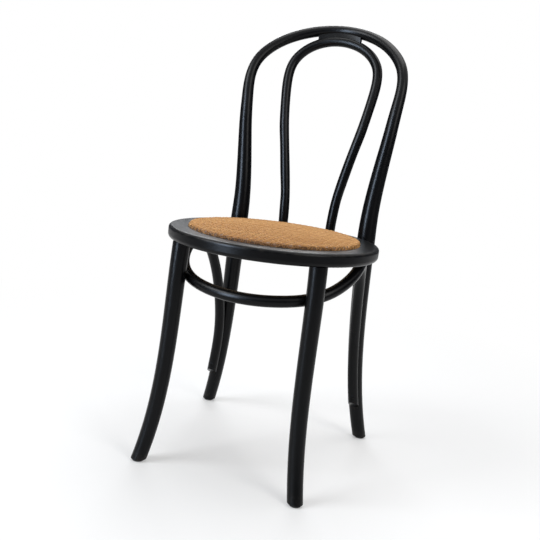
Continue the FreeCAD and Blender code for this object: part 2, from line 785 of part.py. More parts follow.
def build():
    """Every piece of the chair by the name of its node, as a list of solids."""
    nail_holes = Part.makeCompound(nail_solids(layer_clearance))
    bolts = bolt_pieces()
    front_places, ring_places, rear_places = brace_screw_places()
    front_screws, front_holes = screw_set(front_places, brace_leg_screw_length)
    ring_screws, ring_holes = screw_set(ring_places, brace_ring_screw_length)
    rear_screws, rear_holes = screw_set(rear_places, brace_leg_screw_length)
    crest_screws, crest_holes = screw_set(crest_screw_places(), crest_screw_length)
    inner_screws, inner_holes = screw_set(inner_screw_places(), inner_bow_screw_length)
    lock_screws, lock_holes = screw_set(lock_screw_places(), leg_lock_screw_length)
    seat_screws, seat_holes = screw_set(seat_screw_places(), seat_screw_length)
    staples = staple_solids()

    above_glides = slab(glide_thickness, 2 * bow_top_height)
    back_bow = rod(back_bow_stations()).common(above_glides)
    back_bow = back_bow.cut([nail_holes] + bolts["bow_hole"] + rear_holes + crest_holes)

    above_ring_bottom = slab(ring_bottom, 2 * bow_top_height)
    inner_bow = rod(inner_bow_stations()).common(above_ring_bottom)
    inner_bow = inner_bow.cut(crest_holes + inner_holes)

    back_room = rod(back_bow_stations(crest_recess))
    inner_room = rod(inner_bow_stations(crest_recess))
    crest_block = crest_block_solid(back_room, inner_room).cut(crest_holes)

    top_right = polar(ring_radius - front_leg_inset, front_leg_angle - 90, ring_bottom)
    sockets = []
    for top in (top_right, mirrored(top_right)):
        sockets.append(Part.makeCylinder(tenon_diameter / 2 + tenon_clearance,
                                         tenon_length + tenon_end_gap, top))
    ring_cuts = sockets + ring_seats() + bolts["ring_hole"]
    ring_cuts += ring_holes + inner_holes + lock_holes + seat_holes
    seat_ring = ring_blank().cut(ring_cuts)

    panel = Part.makeCylinder(panel_radius, panel_thickness, Vector(0, 0, panel_bottom))
    panel = panel.cut(seat_holes + staples)
    cover = cover_solid().cut(seat_holes + staples)

    right_leg = front_leg_solid(nail_holes)
    left_leg = right_leg.mirror(Vector(0, 0, 0), Vector(1, 0, 0))
    leg_holes = front_holes + lock_holes
    brace = rod(brace_stations()).cut(brace_end_cuts() + front_holes + ring_holes + rear_holes)

    return {
        "back_bow": [back_bow],
        "inner_bow": [inner_bow],
        "crest_block": [crest_block],
        "crest_screws": crest_screws,
        "seat_ring": [seat_ring],
        "seat_panel": [panel],
        "seat_pad": [pad_solid()],
        "cane_cover": [cover],
        "cover_staples": staples,
        "seat_screws": seat_screws,
        "front_leg_left": [left_leg.cut(leg_holes)],
        "front_leg_right": [right_leg.cut(leg_holes)],
        "front_leg_screws": lock_screws,
        "leg_brace": [brace],
        "brace_front_screws": front_screws,
        "brace_ring_screws": ring_screws,
        "brace_rear_screws": rear_screws,
        "rear_leg_bolts": bolts["bolt"],
        "rear_leg_washers": bolts["washer"],
        "rear_leg_nuts": bolts["nut"],
        "inner_bow_screws": inner_screws,
        "foot_glides": glide_solids(),
        "glide_nails": nail_solids(),
    }


def single_solids(shapes):
    """The closed solids held by a list of shapes."""
    solids = []
    for shape in shapes:
        solids += shape.Solids
    return solids


def main():
    """Build the chair, centre it over the floor and write one STEP file for each piece."""
    nodes = {name: single_solids(shapes) for name, shapes in build().items()}
    outermost = nodes["back_bow"] + nodes["seat_ring"] + nodes["front_leg_left"]
    box = Part.makeCompound(outermost).optimalBoundingBox(False, False)
    shift = Vector(0, -(box.YMin + box.YMax) / 2, 0)
    os.makedirs("parts", exist_ok=True)
    for name, solids in nodes.items():
        for solid in solids:
            solid.translate(shift)
        shape = solids[0] if len(solids) == 1 else Part.makeCompound(solids)
        shape.exportStep("parts/" + name + ".step")
        size = shape.BoundBox
        print(f"{name}: {len(solids)} solids, valid {shape.isValid()}, volume {shape.Volume:.0f}, "
              f"x {size.XMin:.1f} to {size.XMax:.1f}, y {size.YMin:.1f} to {size.YMax:.1f}, "
              f"z {size.ZMin:.1f} to {size.ZMax:.1f}")
    print(f"moved by {shift.y:.2f} along Y")


main()
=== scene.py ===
import logging
import math
from collections.abc import Callable
from dataclasses import dataclass, field
from enum import Enum

import bmesh
import bpy
import numpy as np
from mathutils import Matrix, Vector


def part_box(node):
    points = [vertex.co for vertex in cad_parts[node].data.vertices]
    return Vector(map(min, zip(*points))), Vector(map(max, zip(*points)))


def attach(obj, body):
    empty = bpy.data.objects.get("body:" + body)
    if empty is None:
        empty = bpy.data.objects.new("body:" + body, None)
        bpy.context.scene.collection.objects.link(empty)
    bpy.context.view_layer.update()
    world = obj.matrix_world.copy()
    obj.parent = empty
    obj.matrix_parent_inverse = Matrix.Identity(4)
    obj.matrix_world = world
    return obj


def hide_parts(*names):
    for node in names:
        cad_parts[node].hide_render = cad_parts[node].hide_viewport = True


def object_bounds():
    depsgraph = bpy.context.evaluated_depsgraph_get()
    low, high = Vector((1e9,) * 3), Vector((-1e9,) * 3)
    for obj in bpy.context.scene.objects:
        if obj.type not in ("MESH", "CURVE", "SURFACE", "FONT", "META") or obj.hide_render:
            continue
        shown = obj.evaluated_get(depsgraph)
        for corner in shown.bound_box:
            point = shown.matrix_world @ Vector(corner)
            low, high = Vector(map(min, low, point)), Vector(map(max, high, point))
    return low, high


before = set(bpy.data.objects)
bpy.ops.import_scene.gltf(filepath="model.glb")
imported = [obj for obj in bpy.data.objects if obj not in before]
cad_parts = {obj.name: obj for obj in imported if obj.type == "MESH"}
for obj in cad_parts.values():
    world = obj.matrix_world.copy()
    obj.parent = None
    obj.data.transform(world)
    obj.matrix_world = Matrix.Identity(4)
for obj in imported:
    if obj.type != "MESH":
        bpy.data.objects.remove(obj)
CAD_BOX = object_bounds()
LOG = logging.getLogger("bistro_chair")
MM = 0.001
BODY = "root"

FLOAT = "NodeSocketFloat"
INTEGER = "NodeSocketInt"
VECTOR = "NodeSocketVector"
OBJECT = "NodeSocketObject"
MATERIAL = "NodeSocketMaterial"
GEOMETRY = "NodeSocketGeometry"
SHADER_TREE = "ShaderNodeTree"
GEOMETRY_TREE = "GeometryNodeTree"

Piece = bpy.types.Object
Mesh = bpy.types.Mesh
Material = bpy.types.Material
Tree = bpy.types.NodeTree
Node = bpy.types.Node
Socket = bpy.types.NodeSocket
Values = dict[str | int, object]
Triple = tuple[float, float, float]
Colour = tuple[float, float, float, float]
Line = list[tuple[float, float]]


class Sketch:
    """Writes a node tree in short lines: nodes are made by type, and a socket given as a value is linked."""

    MIX_FIRST, MIX_SECOND, MIX_RESULT = 6, 7, 2

    def __init__(self, tree: Tree) -> None:
        """Keeps the tree that the nodes go into."""
        self.tree = tree

    def fill(self, made: Node, values: Values) -> None:
        """Gives inputs of a node their values.

        Args:
            made: the node.
            values: a constant or a socket for each input, by its name or number.
        """
        for key, value in values.items():
            if isinstance(value, Socket):
                self.tree.links.new(value, made.inputs[key])
            else:
                made.inputs[key].default_value = value

    def node(self, kind: str, values: Values | None = None, **settings: object) -> Node:
        """Adds one node.

        Args:
            kind: the node's type.
            values: what its inputs get, by name or number.
            settings: the node's own options.

        Returns:
            The new node.
        """
        made = self.tree.nodes.new(kind)
        for name, setting in settings.items():
            setattr(made, name, setting)
        self.fill(made, values or {})
        return made

    def result(self, kind: str, values: Values | None = None, **settings: object) -> Socket:
        """Adds one node and returns its first output."""
        return self.node(kind, values, **settings).outputs[0]

    def group(self, tree: Tree, values: Values) -> dict[str, Socket]:
        """Places a shader group and returns its outputs by name."""
        made = self.node("ShaderNodeGroup", values, node_tree=tree)
        return {socket.name: socket for socket in made.outputs}

    def math(self, operation: str, *terms: object, clamp: bool = False) -> Socket:
        """Adds a Math node on up to three terms and returns its result."""
        made = self.node("ShaderNodeMath", dict(enumerate(terms)), operation=operation, use_clamp=clamp)
        return made.outputs[0]

    def plus(self, first: object, second: object) -> Socket:
        """Returns a sum."""
        return self.math("ADD", first, second)

    def minus(self, first: object, second: object) -> Socket:
        """Returns a difference."""
        return self.math("SUBTRACT", first, second)

    def over(self, first: object, second: object) -> Socket:
        """Returns a quotient."""
        return self.math("DIVIDE", first, second)

    def times(self, first: object, second: object) -> Socket:
        """Returns a product."""
        return self.math("MULTIPLY", first, second)

    def times_plus(self, first: object, second: object, third: object) -> Socket:
        """Returns a product plus a third term."""
        return self.math("MULTIPLY_ADD", first, second, third)

    def vector(self, operation: str, *terms: object) -> Socket:
        """Adds a Vector Math node and returns its vector."""
        return self.result("ShaderNodeVectorMath", dict(enumerate(terms)), operation=operation)

    def scaled(self, vector: Socket, factor: object) -> Socket:
        """Returns a vector times a number."""
        return self.result("ShaderNodeVectorMath", {0: vector, "Scale": factor}, operation="SCALE")

    def length(self, vector: Socket) -> Socket:
        """Returns how long a vector is."""
        return self.node("ShaderNodeVectorMath", {0: vector}, operation="LENGTH").outputs["Value"]

    def parts(self, vector: Socket) -> list[Socket]:
        """Returns the three parts of a vector."""
        return list(self.node("ShaderNodeSeparateXYZ", {0: vector}).outputs)

    def joined(self, x: object = 0.0, y: object = 0.0, z: object = 0.0) -> Socket:
        """Returns a vector made of three parts."""
        return self.result("ShaderNodeCombineXYZ", {0: x, 1: y, 2: z})

    def fade(self, value: Socket, start: object, end: object, low: float = 0.0, high: float = 1.0) -> Socket:
        """Returns a smooth step from low at start to high at end."""
        values = {"Value": value, "From Min": start, "From Max": end, "To Min": low, "To Max": high}
        return self.node("ShaderNodeMapRange", values, interpolation_type="SMOOTHSTEP").outputs["Result"]

    def mixed(self, factor: object, first: object, second: object) -> Socket:
        """Returns a colour between two colours."""
        values = {0: factor, self.MIX_FIRST: first, self.MIX_SECOND: second}
        return self.node("ShaderNodeMix", values, data_type="RGBA").outputs[self.MIX_RESULT]

    def noise(self, place: Socket, scale: object, detail: float = 2.0, roughness: float = 0.5) -> Socket:
        """Returns a noise value from 0 to 1."""
        values = {"Vector": place, "Scale": scale, "Detail": detail, "Roughness": roughness}
        return self.result("ShaderNodeTexNoise", values)

    def bump(self, height: Socket, depth: float, strength: float) -> Socket:
        """Returns the normal of a surface with this relief, its depth in metres."""
        values = {"Height": height, "Distance": depth, "Strength": strength}
        return self.result("ShaderNodeBump", values)

    def object_place(self) -> Socket:
        """Returns the Object coordinate, in metres."""
        return self.node("ShaderNodeTexCoord").outputs["Object"]

    def facing(self) -> Socket:
        """Returns the way that a face looks."""
        return self.node("ShaderNodeNewGeometry").outputs["Normal"]


class GroupSketch(Sketch):
    """The sketch of a node group, which starts with its named sockets."""

    def __init__(self, name: str, kind: str, inputs: dict[str, str], outputs: dict[str, str]) -> None:
        """Starts the group.

        Args:
            name: the group's name.
            kind: the type of its tree.
            inputs: the type of each input, all of which are set where the group is used.
            outputs: the type of each output.
        """
        super().__init__(bpy.data.node_groups.new(name, kind))
        for way, sockets in (("INPUT", inputs), ("OUTPUT", outputs)):
            for label, socket_type in sockets.items():
                self.tree.interface.new_socket(name=label, in_out=way, socket_type=socket_type)
        entry = self.node("NodeGroupInput")
        self.given = {label: entry.outputs[label] for label in inputs}
        self.out = self.node("NodeGroupOutput")

    def random(self, low: object, high: object) -> Socket:
        """Returns a random number between two, drawn from the group's own seed."""
        values = {2: low, 3: high, "Seed": self.given["Seed"]}
        return self.node("FunctionNodeRandomValue", values, data_type="FLOAT").outputs[1]

    def closed(self, results: Values) -> Tree:
        """Links the group's results and returns its tree."""
        self.fill(self.out, results)
        return self.tree

    def dressed(self, geometry: Socket, material: Socket) -> Tree:
        """Ends a geometry tree: its instances are made real and get their finish.

        Args:
            geometry: what the tree has made.
            material: its finish.

        Returns:
            The tree.
        """
        whole = self.result("GeometryNodeRealizeInstances", {0: geometry})
        finished = self.result("GeometryNodeSetMaterial", {"Geometry": whole, "Material": material})
        return self.closed({"Geometry": finished})


class Effects:
    """Shader groups that more than one finish uses, each built once."""

    FIBRE_STRETCH = 0.022
    PORE_STRETCH = 0.12
    BROAD_SCALE = 120.0
    PATCH_SCALE = 70.0
    SPECK_SCALE = 900.0
    DRIFT_SCALE = 42.0
    THREAD_FLOOR = 0.6

    def __init__(self) -> None:
        """Builds every group."""
        self.fibre = self.build_fibre()
        self.rubbed = self.build_rubbed()
        self.settled = self.build_settled()
        self.cloth = self.build_cloth()

    def build_fibre(self) -> Tree:
        """Builds the group that draws long wood fibres and short pores along a path.

        Returns:
            The group, which gives the relief of the fibres and a broad change of tone.
        """
        sketch = GroupSketch(
            "wood_fibre", SHADER_TREE,
            {"Path": VECTOR, "Fineness": FLOAT, "Pore Share": FLOAT},
            {"Relief": FLOAT, "Tone": FLOAT},
        )
        given = sketch.given
        along, across, depth = sketch.parts(given["Path"])
        drawn = sketch.joined(sketch.times(along, self.FIBRE_STRETCH), across, depth)
        fibres = sketch.noise(drawn, given["Fineness"], detail=3.0)
        broad = sketch.noise(drawn, self.BROAD_SCALE, detail=3.0, roughness=0.6)
        dashed = sketch.joined(sketch.times(along, self.PORE_STRETCH), across, depth)
        spread = {"Vector": dashed, "Scale": given["Fineness"]}
        cells = sketch.result("ShaderNodeTexVoronoi", spread, feature="F1")
        pores = sketch.fade(cells, start=0.05, end=0.32)
        lines = sketch.times(fibres, sketch.minus(1.0, given["Pore Share"]))
        return sketch.closed({"Relief": sketch.times_plus(pores, given["Pore Share"], lines), "Tone": broad})

    def build_rubbed(self) -> Tree:
        """Builds the group that breaks a worn zone into scuffs.

        Returns:
            The group, which gives the mask of the scuffs.
        """
        sketch = GroupSketch(
            "rubbed_zone", SHADER_TREE,
            {"Nearness": FLOAT, "Place": VECTOR, "Amount": FLOAT},
            {"Mask": FLOAT},
        )
        given = sketch.given
        patches = sketch.noise(given["Place"], self.PATCH_SCALE, detail=4.0, roughness=0.65)
        specks = sketch.noise(given["Place"], self.SPECK_SCALE, detail=2.0, roughness=0.6)
        scuffs = sketch.fade(patches, start=0.42, end=0.68)
        broken = sketch.times(scuffs, sketch.fade(specks, start=0.35, end=0.6))
        worn = sketch.times(broken, given["Nearness"])
        return sketch.closed({"Mask": sketch.math("MULTIPLY", worn, given["Amount"], clamp=True)})

    def build_settled(self) -> Tree:
        """Builds the group for the faint dust that lies on faces that look up.

        Returns:
            The group, which gives the mask of the dust.
        """
        sketch = GroupSketch(
            "settled_dust", SHADER_TREE,
            {"Normal": VECTOR, "Place": VECTOR, "Amount": FLOAT},
            {"Mask": FLOAT},
        )
        given = sketch.given
        upward = sketch.fade(sketch.parts(given["Normal"])[2], start=0.55, end=1.0)
        drift = sketch.noise(given["Place"], self.DRIFT_SCALE, detail=5.0, roughness=0.7)
        lying = sketch.times(upward, sketch.fade(drift, start=0.35, end=0.75))
        return sketch.closed({"Mask": sketch.math("MULTIPLY", lying, given["Amount"], clamp=True)})

    def build_cloth(self) -> Tree:
        """Builds the group for a plain weave of threads in two directions.

        Returns:
            The group, which gives the relief of the threads and the gaps between them.
        """
        sketch = GroupSketch(
            "plain_cloth", SHADER_TREE,
            {"Place": VECTOR, "Thread": FLOAT},
            {"Relief": FLOAT, "Gap": FLOAT},
        )
        turn = sketch.over(math.pi, sketch.given["Thread"])
        x, y, _ = sketch.parts(sketch.given["Place"])
        warp = sketch.math("SINE", sketch.times(x, turn))
        weft = sketch.math("SINE", sketch.times(y, turn))
        cross = sketch.times_plus(sketch.times(warp, weft), 0.5, 0.5)
        thread = sketch.math("MAXIMUM", sketch.math("ABSOLUTE", warp), sketch.math("ABSOLUTE", weft))
        lifted = sketch.times_plus(cross, 1.0 - self.THREAD_FLOOR, self.THREAD_FLOOR)
        gap = sketch.fade(thread, start=0.75, end=0.25)
        return sketch.closed({"Relief": sketch.times(thread, lifted), "Gap": gap})


class FibrePath(Enum):
    """How the fibres of a wooden piece run, because each piece is bent from straight stock."""

    UPRIGHT = "straight up"
    ARCH = "up, over a crown and down again"
    RING = "round the seat"
    HOOP = "round under the seat and down the legs"
    ACROSS = "from side to side"


@dataclass(frozen=True)
class ArchForm:
    """The half circle that a bow's fibres follow above its widest point."""

    centre_height: float
    radius: float

    @classmethod
    def of_bow(cls, node: str) -> "ArchForm":
        """Reads the half circle from the box of a bow, whose widest point is its reach from the middle."""
        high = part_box(node)[1]
        return cls(high.z - high.x, high.x)


def seat_centre() -> Vector:
    """Returns the middle of the seat at floor height, from the cover's box."""
    low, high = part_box("cane_cover")
    return Vector(((low.x + high.x) / 2, (low.y + high.y) / 2, 0.0))


def fibre_place(sketch: Sketch, path: FibrePath, arch: ArchForm | None) -> Socket:
    """Turns the Object coordinate into one whose first part runs along the fibres.

    Args:
        sketch: the material's sketch.
        path: the way the fibres run.
        arch: the crown's half circle, for a piece that has one.

    Returns:
        A vector of the run along the fibres and two measures across them, in metres.
    """
    bend_radius = 0.19
    place = sketch.object_place()
    if path is FibrePath.ACROSS:
        return place
    x, y, z = sketch.parts(place)
    if path is FibrePath.UPRIGHT:
        return sketch.joined(z, x, y)
    if path is FibrePath.ARCH:
        above = sketch.math("MAXIMUM", sketch.minus(z, arch.centre_height), 0.0)
        below = sketch.math("MAXIMUM", sketch.minus(arch.centre_height, z), 0.0)
        bend = sketch.math("ARCTAN2", sketch.math("ABSOLUTE", x), above)
        run = sketch.times_plus(bend, arch.radius, below)
        signed = sketch.times(run, sketch.math("SIGN", x))
        return sketch.joined(signed, sketch.length(sketch.joined(x, above, 0.0)), y)
    forward = sketch.minus(seat_centre().y, y)
    bend = sketch.math("ARCTAN2", x, forward)
    reach = sketch.length(sketch.joined(x, forward, 0.0))
    round_run = sketch.times(bend, bend_radius)
    if path is FibrePath.RING:
        return sketch.joined(round_run, reach, z)
    return sketch.joined(sketch.plus(round_run, z), reach, sketch.times(z, 0.5))


def bare_material(name: str) -> tuple[Material, Sketch]:
    """Starts a material without nodes.

    Args:
        name: the material's name.

    Returns:
        The material and its sketch.
    """
    made = bpy.data.materials.new(name)
    made.use_nodes = True
    made.node_tree.nodes.clear()
    return made, Sketch(made.node_tree)


def blank_material(name: str) -> tuple[Material, Sketch, Node]:
    """Starts a material with a Principled BSDF.

    Args:
        name: the material's name.

    Returns:
        The material, its sketch, and its Principled BSDF, already joined to the output.
    """
    made, sketch = bare_material(name)
    surface = sketch.node("ShaderNodeBsdfPrincipled")
    sketch.node("ShaderNodeOutputMaterial", {"Surface": surface.outputs[0]})
    return made, sketch, surface


Wear = Callable[[Sketch, Socket], Socket]


@dataclass(frozen=True)
class Lacquer:
    """Satin black lacquer over bent beech, worn where hands, feet and floors rub it."""

    effects: Effects
    black: Colour = (0.0024, 0.0026, 0.0033, 1.0)
    deep: Colour = (0.0013, 0.0014, 0.0018, 1.0)
    rubbed: Colour = (0.030, 0.026, 0.022, 1.0)
    dust: Colour = (0.070, 0.068, 0.064, 1.0)
    fineness: float = 760.0
    pore_share: float = 0.3
    dust_amount: float = 0.06
    wear_amount: float = 0.8
    roughness: float = 0.30
    polish_change: float = 0.12
    wear_roughness: float = 0.2
    dust_roughness: float = 0.3
    peel_share: float = 0.35
    relief_depth: float = 0.00006
    relief_strength: float = 0.035
    gloss: float = 0.12
    coat: float = 0.05
    coat_roughness: float = 0.22

    def material(
        self, name: str, path: FibrePath, arch: ArchForm | None = None, wear: Wear | None = None
    ) -> Material:
        """Builds the lacquer for one kind of piece.

        Args:
            name: the material's name.
            path: the way the piece's fibres run.
            arch: the crown's half circle, for a bow.
            wear: gives how near a place is to an edge that is rubbed, from 0 to 1.

        Returns:
            The material.
        """
        made, sketch, surface = blank_material(name)
        place = sketch.object_place()
        run = fibre_place(sketch, path, arch)
        fibre = sketch.group(
            self.effects.fibre, {"Path": run, "Fineness": self.fineness, "Pore Share": self.pore_share}
        )
        dust = sketch.group(
            self.effects.settled, {"Normal": sketch.facing(), "Place": place, "Amount": self.dust_amount}
        )
        colour = sketch.mixed(sketch.fade(fibre["Tone"], start=0.3, end=0.7), self.deep, self.black)
        uneven = sketch.noise(place, scale=26.0, detail=4.0, roughness=0.6)
        polish = sketch.times_plus(uneven, self.polish_change, self.roughness - self.polish_change / 2)
        if wear is not None:
            rub = sketch.group(
                self.effects.rubbed,
                {"Nearness": wear(sketch, place), "Place": place, "Amount": self.wear_amount},
            )
            colour = sketch.mixed(rub["Mask"], colour, self.rubbed)
            polish = sketch.times_plus(rub["Mask"], self.wear_roughness, polish)
        colour = sketch.mixed(dust["Mask"], colour, self.dust)
        polish = sketch.times_plus(dust["Mask"], self.dust_roughness, polish)
        orange_peel = sketch.noise(place, scale=420.0)
        relief = sketch.times_plus(orange_peel, self.peel_share, fibre["Relief"])
        sketch.fill(surface, {
            "Base Color": colour,
            "Roughness": polish,
            "Normal": sketch.bump(relief, self.relief_depth, self.relief_strength),
            "Specular IOR Level": self.gloss,
            "Coat Weight": self.coat,
            "Coat Roughness": self.coat_roughness,
        })
        return made


@dataclass(frozen=True)
class Cane:
    """Peeled cane: a smooth golden skin with fine fibres, darker towards each strand's two sides, and marks
    of old leaf rings.
    """

    pale: Colour = (0.655, 0.375, 0.145, 1.0)
    golden: Colour = (0.465, 0.230, 0.071, 1.0)
    brown: Colour = (0.255, 0.118, 0.043, 1.0)
    strand_shift: float = 3.0
    fibre_run: float = 9.0
    blotch_run: float = 38.0
    ring_spacing: float = 0.23
    ring_width: float = 0.0022
    roughness: float = 0.44
    fibre_roughness: float = 0.2
    fibre_depth: float = 0.00005
    gloss: float = 0.30

    def material(self, name: str) -> Material:
        """Builds the cane from the attribute that each strand carries: its run, its side and its own tone.

        Args:
            name: the material's name.

        Returns:
            The material.
        """
        made, sketch, surface = blank_material(name)
        strand = sketch.node("ShaderNodeAttribute", attribute_name="strand").outputs["Vector"]
        along, across, tone = sketch.parts(strand)
        shifted = sketch.times_plus(tone, self.strand_shift, along)
        fine = sketch.joined(sketch.times(shifted, self.fibre_run), across, tone)
        fibres = sketch.noise(fine, scale=26.0, detail=3.0, roughness=0.6)
        broad = sketch.joined(sketch.times(shifted, self.blotch_run), across, tone)
        blotches = sketch.noise(broad, scale=1.6, detail=3.0, roughness=0.6)
        share = sketch.times_plus(tone, 0.55, sketch.times(blotches, 0.75))
        colour = sketch.mixed(sketch.fade(share, start=0.3, end=0.95), self.pale, self.golden)
        streaks = sketch.fade(fibres, start=0.58, end=0.85, low=0.0, high=0.5)
        colour = sketch.mixed(streaks, colour, self.brown)
        turn = sketch.math("FRACT", sketch.over(shifted, self.ring_spacing))
        off_middle = sketch.math("ABSOLUTE", sketch.minus(turn, 0.5))
        off_ring = sketch.times(off_middle, self.ring_spacing)
        ring = sketch.fade(off_ring, start=self.ring_width, end=self.ring_width * 0.25, low=0.0, high=0.65)
        colour = sketch.mixed(ring, colour, self.brown)
        # Each strand's colour darkens towards its two sides, by its place across the strand.
        side = sketch.fade(sketch.math("ABSOLUTE", across), start=0.34, end=0.5, low=0.0, high=0.7)
        sketch.fill(surface, {
            "Base Color": sketch.mixed(side, colour, self.brown),
            "Roughness": sketch.times_plus(fibres, self.fibre_roughness, self.roughness),
            "Normal": sketch.bump(fibres, self.fibre_depth, strength=0.6),
            "Specular IOR Level": self.gloss,
        })
        return made


@dataclass(frozen=True)
class Cloth:
    """A plain woven backing or a matted felt."""

    effects: Effects
    face: Colour
    gap: Colour
    thread: float
    matted: float
    roughness: float = 0.8
    relief_depth: float = 0.00025
    sheen: float = 0.25
    sheen_roughness: float = 0.5

    def material(self, name: str) -> Material:
        """Builds the cloth with its threads, gaps and stray fibres.

        Args:
            name: the material's name.

        Returns:
            The material.
        """
        made, sketch, surface = blank_material(name)
        place = sketch.object_place()
        weave = sketch.group(self.effects.cloth, {"Place": place, "Thread": self.thread})
        woven = 1.0 - self.matted
        fuzz = sketch.noise(place, scale=1400.0, detail=4.0, roughness=0.7)
        cloudy = sketch.noise(place, scale=60.0, detail=4.0, roughness=0.6)
        colour = sketch.mixed(sketch.times(weave["Gap"], woven), self.face, self.gap)
        colour = sketch.mixed(sketch.fade(fuzz, start=0.45, end=0.8, high=0.4), colour, self.gap)
        colour = sketch.mixed(sketch.fade(cloudy, start=0.4, end=0.8, high=0.35), colour, self.gap)
        relief = sketch.times_plus(fuzz, 0.2 + self.matted, sketch.times(weave["Relief"], woven))
        sketch.fill(surface, {
            "Base Color": colour,
            "Roughness": sketch.times_plus(fuzz, 0.15, self.roughness),
            "Normal": sketch.bump(relief, self.relief_depth, strength=0.7),
            "Sheen Weight": self.sheen,
            "Sheen Roughness": self.sheen_roughness,
        })
        return made


@dataclass(frozen=True)
class Plywood:
    """Rotary-cut veneers: wavy grain on the faces and stacked layers at the edge."""

    effects: Effects
    light: Colour = (0.560, 0.400, 0.235, 1.0)
    dark: Colour = (0.330, 0.205, 0.105, 1.0)
    veneer: float = 0.0015
    fineness: float = 1100.0
    pore_share: float = 0.5
    wave_count: float = 90.0
    wave_wander: float = 60.0
    roughness: float = 0.55
    relief_depth: float = 0.00012

    def material(self, name: str) -> Material:
        """Builds the plywood from the place and the way a face looks.

        Args:
            name: the material's name.

        Returns:
            The material.
        """
        made, sketch, surface = blank_material(name)
        place = sketch.object_place()
        x, y, z = sketch.parts(place)
        wide = sketch.joined(sketch.times(x, 2.4), sketch.times(y, 9.0), z)
        wander = sketch.noise(wide, scale=3.0, detail=3.0)
        waves = sketch.times_plus(wander, self.wave_wander, sketch.times(y, self.wave_count))
        fibre = sketch.group(
            self.effects.fibre, {"Path": place, "Fineness": self.fineness, "Pore Share": self.pore_share}
        )
        grain = sketch.times_plus(sketch.math("SINE", waves), 0.2, fibre["Relief"])
        face = sketch.mixed(sketch.fade(grain, start=0.15, end=0.85), self.dark, self.light)
        layer = sketch.math("FRACT", sketch.over(z, 2.0 * self.veneer))
        stacked = sketch.mixed(sketch.fade(layer, start=0.46, end=0.54), self.light, self.dark)
        upward = sketch.parts(sketch.facing())[2]
        flat = sketch.fade(sketch.math("ABSOLUTE", upward), start=0.3, end=0.7)
        sketch.fill(surface, {
            "Base Color": sketch.mixed(flat, stacked, face),
            "Roughness": sketch.times_plus(grain, 0.2, self.roughness),
            "Normal": sketch.bump(fibre["Relief"], self.relief_depth, strength=0.6),
        })
        return made


@dataclass(frozen=True)
class Metal:
    """Turned steel, plated or painted, with fine tool marks and a little grime."""

    bright: Colour
    grime: Colour
    metallic: float
    roughness: float
    gloss: float = 0.5
    mark_stretch: Triple = (1.0, 1.0, 9.0)
    mark_roughness: float = 0.22
    mark_depth: float = 0.00003

    def material(self, name: str) -> Material:
        """Builds the steel.

        Args:
            name: the material's name.

        Returns:
            The material.
        """
        made, sketch, surface = blank_material(name)
        place = sketch.object_place()
        turned = sketch.vector("MULTIPLY", place, self.mark_stretch)
        marks = sketch.noise(turned, scale=1500.0, detail=2.0, roughness=0.6)
        patches = sketch.noise(place, scale=260.0, detail=4.0, roughness=0.65)
        dirty = sketch.fade(patches, start=0.5, end=0.75, high=0.7)
        sketch.fill(surface, {
            "Base Color": sketch.mixed(dirty, self.bright, self.grime),
            "Metallic": sketch.times_plus(dirty, -0.4 * self.metallic, self.metallic),
            "Roughness": sketch.times_plus(marks, self.mark_roughness, self.roughness),
            "Specular IOR Level": self.gloss,
            "Normal": sketch.bump(marks, self.mark_depth, strength=0.5),
        })
        return made


@dataclass(frozen=True)
class MouldedPlastic:
    """The hard dark plastic of the glides, scuffed where it slides on the floor."""

    effects: Effects
    body: Colour = (0.018, 0.017, 0.016, 1.0)
    scuffed: Colour = (0.115, 0.108, 0.098, 1.0)
    scuff_height: float = 0.0016
    roughness: float = 0.42
    scuff_roughness: float = 0.25
    stipple_depth: float = 0.00002

    def material(self, name: str) -> Material:
        """Builds the plastic.

        Args:
            name: the material's name.

        Returns:
            The material.
        """
        made, sketch, surface = blank_material(name)
        place = sketch.object_place()
        near_floor = sketch.fade(sketch.parts(place)[2], start=self.scuff_height, end=0.0)
        rub = sketch.group(self.effects.rubbed, {"Nearness": near_floor, "Place": place, "Amount": 1.0})
        stipple = sketch.noise(place, scale=2600.0, detail=2.0, roughness=0.6)
        sketch.fill(surface, {
            "Base Color": sketch.mixed(rub["Mask"], self.body, self.scuffed),
            "Roughness": sketch.times_plus(rub["Mask"], self.scuff_roughness, self.roughness),
            "Normal": sketch.bump(stipple, self.stipple_depth, strength=0.6),
        })
        return made


def dress(node: str, material: Material) -> None:
    """Gives a CAD node its finish, in every material slot that it has.

    Args:
        node: the node's name.
        material: its finish.
    """
    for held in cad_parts[node].material_slots:
        held.material = material
    LOG.info("%s: %s", node, material.name)


def new_piece(name: str, mesh: Mesh, material: Material, smooth: bool = True) -> Piece:
    """Makes an object from a mesh that already lies in its place.

    Args:
        name: the object's name.
        mesh: its mesh.
        material: its finish.
        smooth: whether its faces are shaded smooth.

    Returns:
        The new object, at the origin.
    """
    mesh.materials.clear()
    mesh.materials.append(material)
    made = bpy.data.objects.new(name, mesh)
    bpy.context.scene.collection.objects.link(made)
    mesh.polygons.foreach_set("use_smooth", [smooth] * len(mesh.polygons))
    return made


def plain_result(source: Piece) -> Mesh:
    """Returns the mesh that an object's modifiers make."""
    graph = bpy.context.evaluated_depsgraph_get()
    return bpy.data.meshes.new_from_object(source.evaluated_get(graph))


